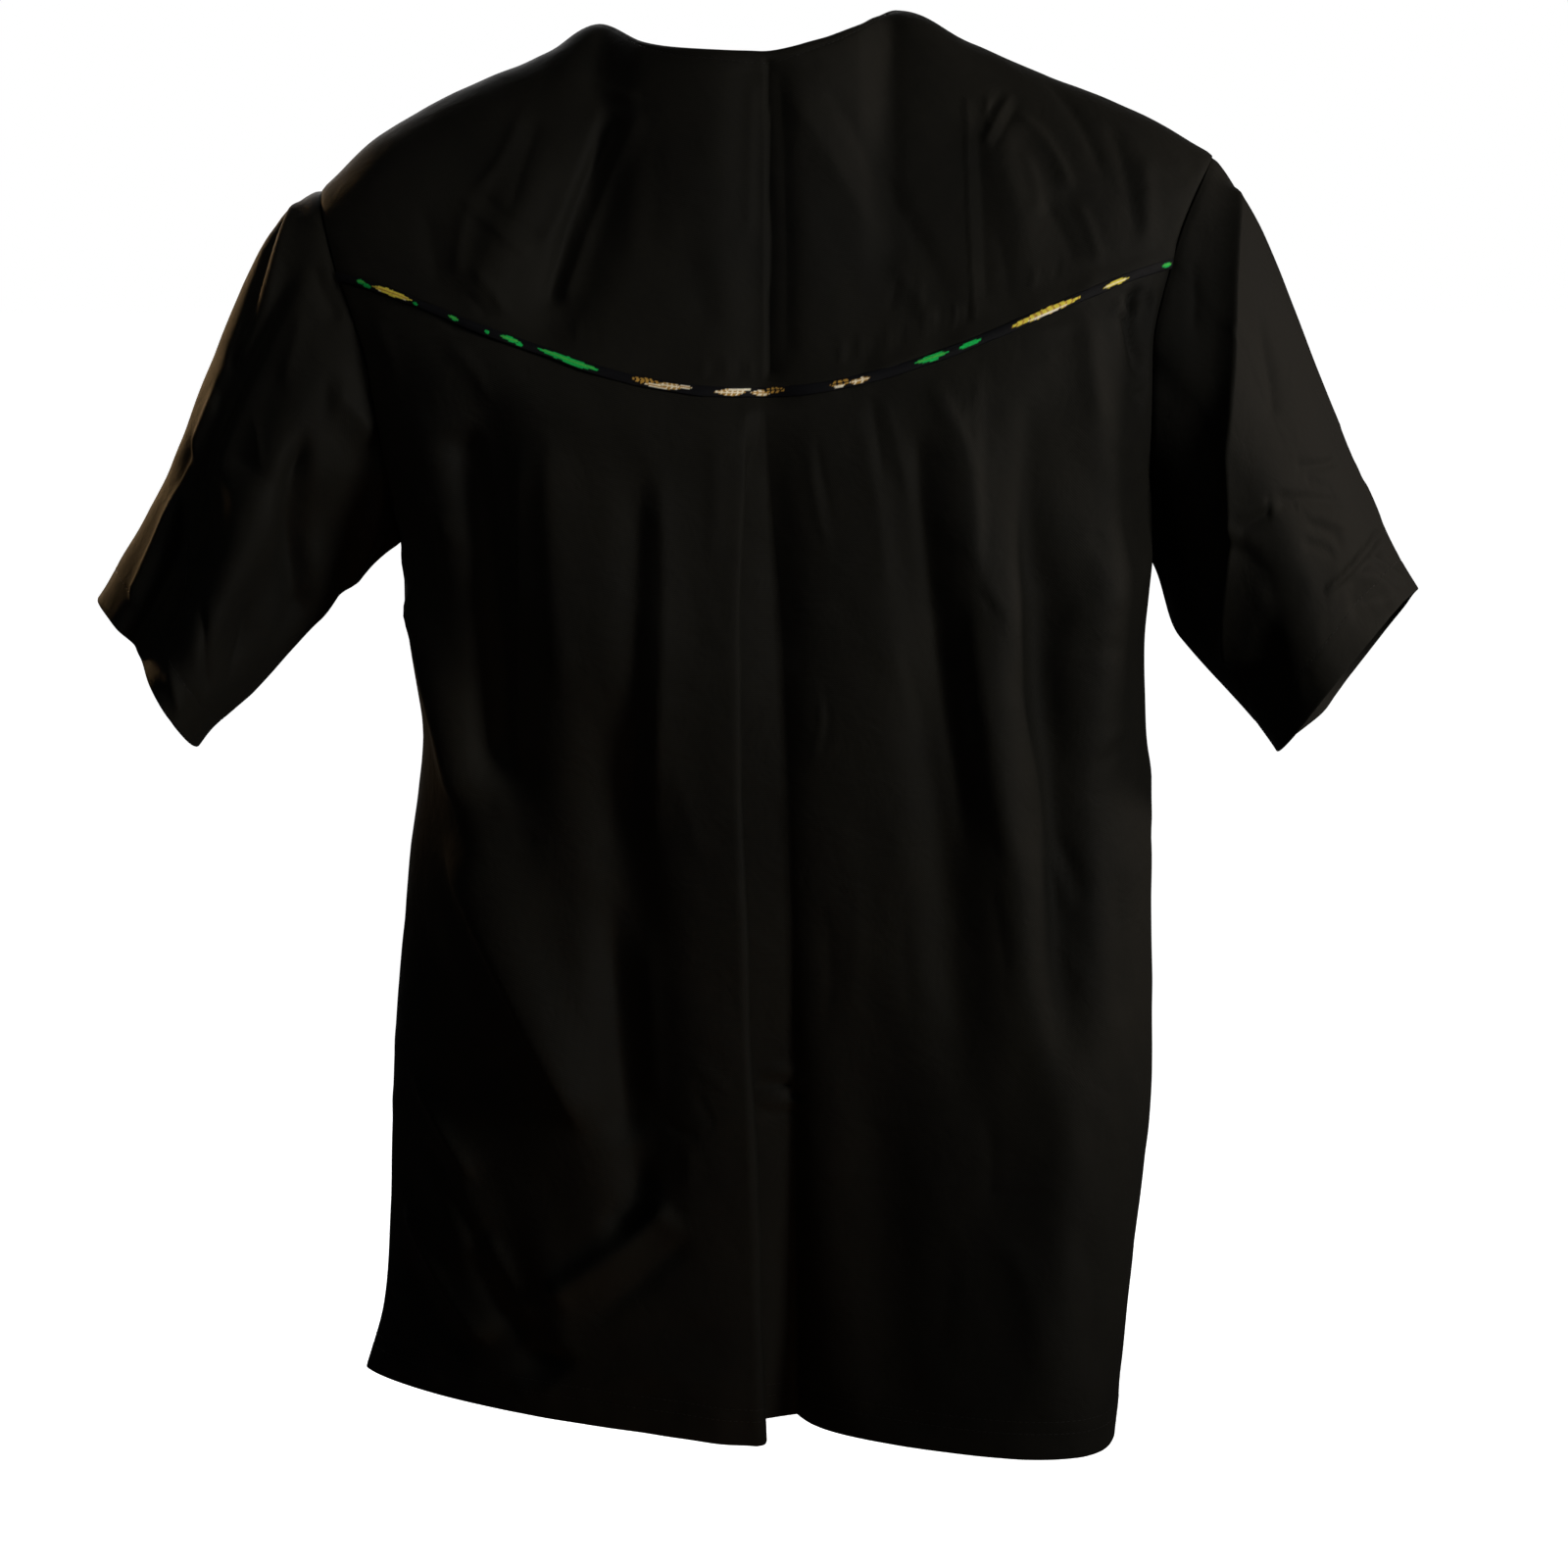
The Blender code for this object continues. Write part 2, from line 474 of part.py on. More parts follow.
def sleeve_grid(side, loop, angle):
    """Sleeve rings from the armhole loop to the cuff, leaving each point by its lead."""
    sign = -1.0 if side == "left" else 1.0
    count = len(loop)
    centre, outer, back = (np.array(c) for c in CUFFS[side])
    power = 2.0 / 2.15
    cuff = (centre + outer * (np.sign(np.cos(angle)) * np.abs(np.cos(angle)) ** power)[:, None]
            + back * (np.sign(np.sin(angle)) * np.abs(np.sin(angle)) ** power)[:, None])
    rows_here = [row for row in SLEEVE_LEADS if row[0] == side]
    rows_here.append(rows_here[0])
    places = np.array([[row[2] * sign, row[3], row[4]] for row in rows_here])
    lengths = np.array([row[5] for row in rows_here])
    clears = np.array([row[6] for row in rows_here])
    quarter = angle / (0.5 * np.pi)
    low = np.minimum(np.floor(quarter).astype(int), 3)
    part = smooth_step(quarter - low)[:, None]
    lead = places[low] * (1 - part) + places[low + 1] * part
    lead /= np.linalg.norm(lead, axis=1, keepdims=True)
    reach = (lengths[low] * (1 - part[:, 0]) + lengths[low + 1] * part[:, 0])[:, None]
    clear = (clears[low] * (1 - part[:, 0]) + clears[low + 1] * part[:, 0])[:, None]
    start = loop + lead * clear
    middle = loop.mean(0)
    axis = centre - middle
    axis /= np.linalg.norm(axis)
    rings = []
    for s in np.linspace(0.0, 1.0, SLEEVE_RINGS) ** 1.05:
        span = np.linalg.norm(cuff - start, axis=1, keepdims=True)
        ring = ((1 - s) ** 3 * start + 3 * s * (1 - s) ** 2 * (start + lead * reach)
                + 3 * s * s * (1 - s) * (cuff - axis * 0.30 * span) + s ** 3 * cuff)
        mid = ring.mean(0)
        out = ring - mid
        out -= axis * (out @ axis)[:, None]
        out /= np.linalg.norm(out, axis=1, keepdims=True)
        height = np.zeros(count)
        for fold_side, a_start, a_end, s_start, s_end, half, size in SLEEVE_FOLDS:
            if fold_side != side:
                continue
            t = (s - s_start) / (s_end - s_start)
            fade = float(smooth_step(t / 0.3)) * (1.0 if s_end >= 1.0 else float(smooth_step((1 - t) / 0.3)))
            if t < 0:
                fade = 0.0
            at = math.radians(a_start + (a_end - a_start) * min(max(t, 0.0), 1.0))
            away = np.abs((angle - at + np.pi) % (2 * np.pi) - np.pi)
            height += size * fade * np.exp(-1.3 * (away / math.radians(half)) ** 2)
        rings.append(ring + out * height[:, None])
    return np.stack(rings)


def piping_grid(back):
    """Flattened tube along the back's top edge, lifted off the panel's outer face."""
    line = back[0]
    down = back[1] - back[0]
    down /= np.linalg.norm(down, axis=1, keepdims=True)
    along = np.gradient(line, axis=0)
    along /= np.linalg.norm(along, axis=1, keepdims=True)
    out = np.cross(along, down)
    out *= np.sign(-out[:, 1])[:, None]
    out /= np.linalg.norm(out, axis=1, keepdims=True)
    keep = slice(1, -1)
    line, down, out = line[keep], down[keep], out[keep]
    lift = 0.5 * WALL + 0.0004 + 0.5 * PIPING_THICK
    centre = line + down * (0.5 * PIPING_TALL + 0.0006) + out * lift
    angle = np.arange(PIPING_POINTS) * 2 * np.pi / PIPING_POINTS
    tall = (0.5 * PIPING_TALL * np.cos(angle))[None, :, None]
    thick = (0.5 * PIPING_THICK * np.sin(angle))[None, :, None]
    return centre[:, None] + down[:, None] * tall + out[:, None] * thick


def new_object(name, verts, faces, material):
    mesh = bpy.data.meshes.new(name)
    mesh.from_pydata(verts.reshape(-1, 3).tolist(), [], faces)
    mesh.update()
    ob = bpy.data.objects.new(name, mesh)
    bpy.context.scene.collection.objects.link(ob)
    mesh.materials.append(material)
    for polygon in mesh.polygons:
        polygon.use_smooth = True
    return ob


def grid_faces(rows, columns, closed):
    last = columns if closed else columns - 1
    return [(r * columns + c, r * columns + (c + 1) % columns,
             (r + 1) * columns + (c + 1) % columns, (r + 1) * columns + c)
            for r in range(rows - 1) for c in range(last)]


def cloth(name, grid, material, closed=False, flip=False):
    """One cut piece: an open surface thickened to a cloth wall."""
    faces = grid_faces(grid.shape[0], grid.shape[1], closed)
    if flip:
        faces = [face[::-1] for face in faces]
    ob = new_object(name, grid, faces, material)
    wall = ob.modifiers.new("wall", "SOLIDIFY")
    wall.thickness = WALL
    wall.offset = 0.0
    wall.use_even_offset = False
    wall.use_quality_normals = True
    return ob


def tube(name, grid, material):
    """Closed strip with flat ends, from rings of points."""
    rings, around = grid.shape[:2]
    faces = grid_faces(rings, around, True)
    faces.append(tuple(range(around))[::-1])
    faces.append(tuple((rings - 1) * around + i for i in range(around)))
    return new_object(name, grid, [face[::-1] for face in faces], material)


def cotton_material():
    return principled("black_cotton", CLOTH_BLACK, 0.62)


def print_material():
    return principled("printed_cotton", PIPING_PRINT, 0.60)


def principled(name, colour, roughness):
    material = bpy.data.materials.new(name)
    material.use_nodes = True
    shader = material.node_tree.nodes["Principled BSDF"]
    shader.inputs["Base Color"].default_value = colour
    shader.inputs["Roughness"].default_value = roughness
    material.diffuse_color = colour
    return material


def main():
    clear_scene()
    cotton = cotton_material()
    yoke = yoke_grid()
    back = back_grid()
    front = front_grid()
    left_loop = armhole_loop(0, yoke, back, front)
    right_loop = armhole_loop(-1, yoke, back, front)
    back_cut = part_sides(back, back, UNDERARM_Z, -0.5 * SEAM)
    front_cut = part_sides(front, back, UNDERARM_Z, 0.5 * SEAM)
    cloth("back_yoke", yoke, cotton)
    cloth("back_panel", back_cut, cotton)
    cloth("front_panel", front_cut, cotton, flip=True)
    cloth("sleeve_left", sleeve_grid("left", *left_loop), cotton, closed=True)
    cloth("sleeve_right", sleeve_grid("right", *right_loop), cotton, closed=True, flip=True)
    tube("yoke_piping", piping_grid(back), print_material())


main()
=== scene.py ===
"""Looks of a short-sleeved pullover dashiki shirt of black cotton sateen, seen from its back.

The five cut pieces are thin cloth shells on the forms of the construction: back
yoke, back with its centre pleat, front and two sleeves, with a folded strip of
printed cotton in the yoke seam and rows of thread along the hems. A piece is a
grid of points worked out from tables of sections and folds, with its hems and
seam allowances turned under as they are sewn. The frame is +Z up, the back of
the shirt faces -Y, and +X is the wearer's right side. Sizes are in metres, those
of the sections in millimetres and of the folds and creases in tenths of one.
"""

import math

import bpy
import numpy as np
from mathutils import Matrix

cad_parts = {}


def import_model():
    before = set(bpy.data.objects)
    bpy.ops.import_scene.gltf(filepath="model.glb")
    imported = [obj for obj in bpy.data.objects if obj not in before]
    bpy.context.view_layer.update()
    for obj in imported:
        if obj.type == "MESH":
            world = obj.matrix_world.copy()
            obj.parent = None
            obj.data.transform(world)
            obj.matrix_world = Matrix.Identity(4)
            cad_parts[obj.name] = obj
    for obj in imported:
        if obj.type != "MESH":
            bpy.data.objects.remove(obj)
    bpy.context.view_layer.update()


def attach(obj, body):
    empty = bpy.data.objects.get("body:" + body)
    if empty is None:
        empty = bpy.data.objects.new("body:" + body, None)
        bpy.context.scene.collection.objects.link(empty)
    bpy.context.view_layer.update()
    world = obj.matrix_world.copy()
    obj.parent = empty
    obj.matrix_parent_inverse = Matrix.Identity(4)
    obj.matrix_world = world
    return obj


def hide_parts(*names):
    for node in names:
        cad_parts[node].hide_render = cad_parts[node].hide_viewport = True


CLOTH = 0.0006           # thickness of the cotton
FOLD_GAP = 0.0011        # from a turned layer's middle to the outer layer's middle
STITCH_PITCH = 0.0031    # length of one stitch with its gap
STITCH_LONG = 0.0024
STITCH_WIDE = 0.00042
HEM_STITCHES = (0.0135, 0.0200)      # distances of the stitch rows from the hem
CUFF_STITCHES = (0.0190,)
NECK_STITCHES = (0.0075,)
PIPING_SHOWS = 0.0048    # how much of the printed strip shows below the yoke
SEAM_SWEEP = 1.3         # how pointed the curve of the yoke seam is
FLOOR_Z = -1.42          # the floor below a shirt worn by a standing adult
FLOOR_HALF = 30.0
SEAM_ALLOWANCE = 0.007   # cloth turned in at a seam
HEM_TURN = 0.020         # cloth turned up at the hem and the cuffs
NECK_TURN = 0.008        # cloth turned in at the neck and shoulders
HEM_MIDDLE = 0.0168      # the line between the two stitch rows of the hem
SIDE_CLEAR = 0.00012     # from the side seam's line to back and front
PIPING_CLOTH = 0.0005    # thickness of the printed strip
CUFF_SQUARE = 2.15       # superellipse exponent of the cuffs
SLEEVE_DEGREE = 0.00118  # one degree round a sleeve in the table of its creases
TENTHS = 1e4             # tables of folds and creases are in tenths of a millimetre
ROUND_FOLD = (2.0, 0.0)  # crest and skew of a fold whose row doesn't give them
CAMERA_PLACE = (0.0132, -2.173, -0.062)
CAMERA_TILT = 81         # degrees from straight down
CAMERA_LENS = 93.6
LEFT_COLS = 96           # grid columns left of the pleat and right of it
RIGHT_COLS = 114
PLEAT_STEPS = 3          # grid columns between two stations of the pleat's course
BACK_ROWS = 170
YOKE_COLS = 240
YOKE_ROWS = 108
FRONT_COLS = 120
FRONT_UPPER = 44
FRONT_LOWER = 90
SLEEVE_AROUND = 216
SLEEVE_RINGS = 138
# How close grid columns lie across the back (x, density), and rows down it
# (share of the length, density), closer where creases are fine.
COLUMN_DENSITY = [(-0.22, 0.75), (-0.19, 0.8), (-0.17, 1.1), (-0.05, 0.9), (-0.010, 1.3),
                  (0.014, 1.7), (0.045, 1.2), (0.090, 1.0), (0.104, 1.6), (0.116, 1.6),
                  (0.132, 1.0), (0.19, 0.9), (0.22, 0.75)]
ROW_DENSITY = [(0.00, 1.4), (0.06, 1.0), (0.65, 0.9), (0.70, 1.7), (0.80, 1.7), (0.84, 1.0),
               (0.90, 1.4), (1.00, 1.6)]
UNDERARM_Z = {0: -0.2745, -1: -0.2795}


def in_metres(rows):
    """Rows of sections with their ten lengths in metres instead of millimetres."""
    return [(row[0], *(length / 1000 for length in row[1:11]), *row[11:]) for row in rows]


# The back's sections from the yoke seam to the hem. z_l, z_c and z_r are the
# heights at the left edge, centre and right edge; x and y place the two edges;
# d_l, d_c and d_r are how far the cloth stands out behind the line between the
# edges at the left quarter, centre and right quarter; turn is how far the
# section turns towards its edge, in degrees; n_l and n_r are the superellipse
# exponents of the left and right half, where more is squarer.
BACK_SECTIONS = in_metres([
    # v,   z_l,  z_c,  z_r,  x_l, y_l, x_r, y_r, d_l, d_c, d_r, turn,  n_l, n_r
    (0.00, -131, -187, -124, -218, -48, 214, -48,  60,  64,  60,   42,  2.3, 2.4),
    (0.08, -172, -222, -170, -204, -60, 204, -60,  64,  62,  64,   50,  2.3, 2.5),
    (0.16, -218, -262, -218, -197, -55, 204, -56,  76,  68,  78,   62,  2.3, 2.7),
    (0.22, -252, -294, -254, -194, -30, 206, -30, 104,  94, 106,   80,  2.3, 2.9),
    (0.26, -275, -318, -280, -190,   0, 207,  -4, 130, 126, 134,   90,  2.3, 3.0),
    (0.34, -326, -360, -328, -186,   0, 203,  -6, 126, 128, 134,   90,  2.2, 3.1),
    (0.42, -372, -404, -374, -180,   0, 205,  -8, 122, 124, 134,   90,  2.1, 3.2),
    (0.55, -452, -472, -454, -189,   0, 209,  -8, 121, 120, 136,   90,  1.9, 3.5),
    (0.70, -546, -560, -548, -198,   0, 209,  -8, 122, 116, 141,   90,  1.7, 4.0),
    (0.85, -640, -648, -642, -202,   0, 200,  -8, 120, 114, 145,   90,  1.6, 4.6),
    (0.94, -696, -700, -702, -207,   0, 193,  -8, 124, 118, 149,   90, 1.45, 5.4),
    (1.00, -731, -734, -738, -217,   0, 189,  -8, 120, 116, 150,   90, 1.42, 6.2),
])

# The front's sections from the chest line to the hem, with the same meaning.
FRONT_SECTIONS = in_metres([
    # v,   z_l,  z_c,  z_r,  x_l, y_l, x_r, y_r, d_l, d_c, d_r, turn, n_l, n_r
    (0.00, -196, -200, -192, -200,  52, 206,  50,  48,  50,  48,   48, 2.4, 2.6),
    (0.08, -232, -238, -230, -196,  46, 205,  44,  62,  64,  62,   62, 2.4, 2.6),
    (0.15, -256, -270, -256, -194,  26, 206,  24,  90,  90,  90,   80, 2.4, 2.6),
    (0.20, -275, -296, -280, -190,   0, 207,  -4, 114, 118, 114,   90, 2.4, 2.6),
    (0.31, -326, -340, -328, -187,   0, 201,  -6, 112, 116, 114,   90, 2.4, 2.6),
    (0.41, -372, -384, -374, -182,   0, 202,  -8, 108, 114, 112,   90, 2.4, 2.6),
    (0.55, -452, -458, -454, -188,   0, 206,  -8, 108, 112, 114,   90, 2.4, 2.6),
    (0.70, -546, -549, -548, -197,   0, 206,  -8, 110, 110, 116,   90, 2.4, 2.6),
    (0.85, -640, -641, -642, -201,   0, 199,  -8, 112, 110, 116,   90, 2.4, 2.6),
    (1.00, -731, -732, -736, -217,   0, 190,  -8, 114, 110, 118,   90, 2.4, 2.6),
])

# The line of the shoulders and neck, from the left armhole to the right one.
# y_back and z_back lie on the yoke's top edge, y_front and z_front on the
# front's; lean is how far back the cloth leans as it leaves the edge.
TOP_LINE = [
    # x,     y_back, z_back, y_front, z_front, lean
    (-0.231, 0.013, -0.089, 0.013, -0.089, 0.034),
    (-0.200, 0.013, -0.061, 0.013, -0.061, 0.040),
    (-0.152, 0.013, -0.035, 0.013, -0.035, 0.044),
    (-0.112, 0.013, -0.018, 0.013, -0.018, 0.046),
    (-0.084, 0.013, -0.003, 0.013, -0.003, 0.036),
    (-0.060, -0.026, -0.013, 0.040, -0.046, 0.022),
    (-0.030, -0.048, -0.017, 0.065, -0.086, 0.014),
    (0.000, -0.054, -0.018, 0.075, -0.103, 0.012),
    (0.026, -0.047, -0.013, 0.065, -0.086, 0.014),
    (0.052, -0.026, -0.004, 0.040, -0.042, 0.022),
    (0.072, 0.013, 0.004, 0.013, 0.004, 0.036),
    (0.112, 0.013, -0.013, 0.013, -0.013, 0.046),
    (0.160, 0.013, -0.033, 0.013, -0.033, 0.044),
    (0.205, 0.013, -0.051, 0.013, -0.051, 0.040),
    (0.240, 0.013, -0.071, 0.013, -0.071, 0.034),
]
NECK_COLUMNS = (-0.084, 0.072)       # the two neck points, kept as mesh columns

# The centre pleat of the back. edge_x is the folded edge of the left half,
# valley_x the bottom of the fold; lap is how far the cloth runs back under the
# left half; step is the depth between layers; valley is the depth of the fold's
# bottom behind the left half; low is how much lower the folded edge hangs.
PLEAT = [
    # v,    edge_x, valley_x, lap,   step,   valley, low
    (0.00, -0.006, 0.003, 0.0000, 0.0022, 0.000, 0.000),
    (0.10, -0.009, 0.005, 0.0015, 0.0024, 0.009, 0.000),
    (0.25, -0.012, 0.011, 0.0050, 0.0028, 0.012, 0.000),
    (0.50, -0.010, 0.017, 0.0100, 0.0032, 0.015, 0.000),
    (0.75, -0.005, 0.019, 0.0130, 0.0040, 0.025, 0.001),
    (1.00, -0.001, 0.020, 0.0150, 0.0056, 0.047, 0.004),
]
VALLEY_REACH = 0.052      # how far the fold's bottom eases out to the right
# One pass across the pleat: lap counts laps (0 the folded edge, -1 the inner
# fold), bow is how far each fold bows out and depth how deep it lies, in steps.
PLEAT_COURSE = [
    # lap,  bow,   depth
    (0.00, 0.00, 0.00),
    (0.00, 0.72, 0.30),
    (0.00, 1.00, 1.00),
    (0.00, 0.72, 1.70),
    (-0.10, 0.00, 2.00),
    (-0.90, 0.00, 2.00),
    (-1.00, -0.72, 2.30),
    (-1.00, -1.00, 3.00),
    (-1.00, -0.72, 3.70),
    (-0.90, 0.00, 4.00),
]

# Soft folds of the back and yoke: three points of the fold's line across the
# back (x, z), its half width and how far it stands out (minus: a trough), all in
# tenths of a millimetre, and the share of its length over which it fades.
BACK_FOLDS = [
    # x1, z1, x2, z2, x3, z3, half, out, fade
    (20, -100, 20, -1100, 30, -2000, 200, -65, 0.1),
    (60, -1800, 100, -2900, 160, -4000, 160, -50, 0.3),
    (-620, -450, -900, -1100, -1120, -1780, 200, -90, 0.35),
    (-1020, -520, -1280, -1100, -1500, -1600, 160, 50, 0.4),
    (-1600, -1800, -1320, -2700, -1320, -4400, 200, -110, 0.35),
    (-1760, -2900, -1420, -4300, -780, -6100, 220, 125, 0.3),
    (-900, -3000, -640, -4800, -620, -6600, 240, -110, 0.3),
    (-1780, -5600, -1560, -6350, -1300, -7020, 160, 80, 0.35),
    (-1560, -6400, -1260, -6840, -1060, -7120, 140, -70, 0.35),
    (-1180, -6360, -1100, -6700, -1020, -7040, 140, 50, 0.35),
    (940, -1700, 1200, -3300, 1360, -5200, 180, 75, 0.3),
    (760, -2000, 920, -3900, 1080, -5600, 180, -75, 0.3),
    (1360, -2200, 1500, -3700, 1600, -5600, 160, -95, 0.3),
    (1680, -1600, 1780, -2600, 1760, -4000, 180, 80, 0.35),
    (1500, -4800, 1560, -6000, 1400, -7300, 220, 60, 0.3),
    (600, -4800, 660, -6200, 740, -7450, 240, -50, 0.3),
    (1180, -450, 1280, -800, 1400, -1400, 140, 45, 0.4),
]

# Soft folds of the hidden front, of the same kind.
FRONT_FOLDS = [
    # x1, z1, x2, z2, x3, z3, half, out, fade
    (-1500, -1600, -1300, -3000, -1180, -4800, 220, -90, 0.35),
    (-1100, -2000, -960, -4000, -1060, -6400, 220, 80, 0.35),
    (-620, -3300, -500, -5000, -580, -7400, 240, -80, 0.3),
    (-60, -1800, 40, -4200, -40, -7000, 260, 60, 0.35),
    (520, -3000, 600, -5000, 500, -7450, 240, -85, 0.3),
    (1000, -1800, 1100, -3800, 1120, -6000, 220, 80, 0.35),
    (1560, -1700, 1460, -3000, 1480, -5000, 200, -90, 0.35),
    (-1600, -5200, -1660, -6200, -1580, -7350, 200, 70, 0.35),
    (1600, -5000, 1560, -6200, 1600, -7350, 200, 70, 0.35),
]

# The cuffs: centre, the half width from the centre to the outer edge, and the
# half depth from the centre to the back edge, each as x, y, z.
CUFFS = {
    "left": ((-0.327, 0.000, -0.343), (-0.0265, 0.012, 0.0380), (0.012, -0.080, -0.002)),
    "right": ((0.319, 0.000, -0.342), (0.0330, 0.012, 0.0385), (-0.015, -0.080, 0.008)),
}
# How the sleeve leaves the armhole at its top, back, underarm and front: the
# direction outwards and down, the length of that lead, and the clear distance
# from the body's edge, which is wider where the walls meet at an angle. Each
# row is out, back, up, length, clear.
SLEEVE_LEADS = {
    "left": [
        (0.97, 0.00, -0.24, 0.044, 0.0007),
        (0.72, -0.34, -0.60, 0.075, 0.0011),
        (0.92, 0.00, -0.42, 0.026, 0.0022),
        (0.72, 0.34, -0.60, 0.075, 0.0011),
    ],
    "right": [
        (0.70, 0.00, -0.71, 0.034, 0.0007),
        (0.66, -0.34, -0.66, 0.070, 0.0013),
        (0.50, 0.00, -0.86, 0.060, 0.0036),
        (0.66, 0.34, -0.66, 0.070, 0.0012),
    ],
}
# Soft folds of the sleeves: where each runs around the sleeve (0 top, 90 back,
# 180 underarm, 270 front, in degrees) at the armhole and at the cuff, its start
# and end along the sleeve, its half width in degrees and how far it stands out:
# a_start, a_end, s_start, s_end, half, out.
SLEEVE_FOLDS = {
    "left": [
        (46, 54, 0.02, 1.00, 9, -0.0085),
        (70, 76, 0.10, 1.00, 20, -0.0055),
        (68, 70, 0.50, 1.00, 20, -0.0150),
        (180, 184, 0.25, 0.96, 40, 0.0060),
        (0, 0, 0.12, 0.92, 30, -0.0075),
        (16, 20, 0.05, 1.00, 16, 0.0050),
        (88, 96, 0.25, 1.00, 22, 0.0020),
        (130, 128, 0.10, 0.85, 20, -0.0080),
        (228, 236, 0.10, 1.00, 24, -0.0070),
        (286, 300, 0.15, 1.00, 24, 0.0060),
    ],
    "right": [
        (62, 98, 0.04, 1.00, 14, 0.0012),
        (108, 136, 0.05, 0.95, 22, -0.0030),
        (0, 0, 0.10, 1.00, 24, 0.0030),
        (176, 176, 0.02, 1.00, 46, 0.0110),
        (132, 132, 0.60, 1.00, 20, -0.0020),
        (236, 228, 0.10, 1.00, 24, -0.0070),
        (292, 304, 0.15, 1.00, 24, 0.0060),
    ],
}

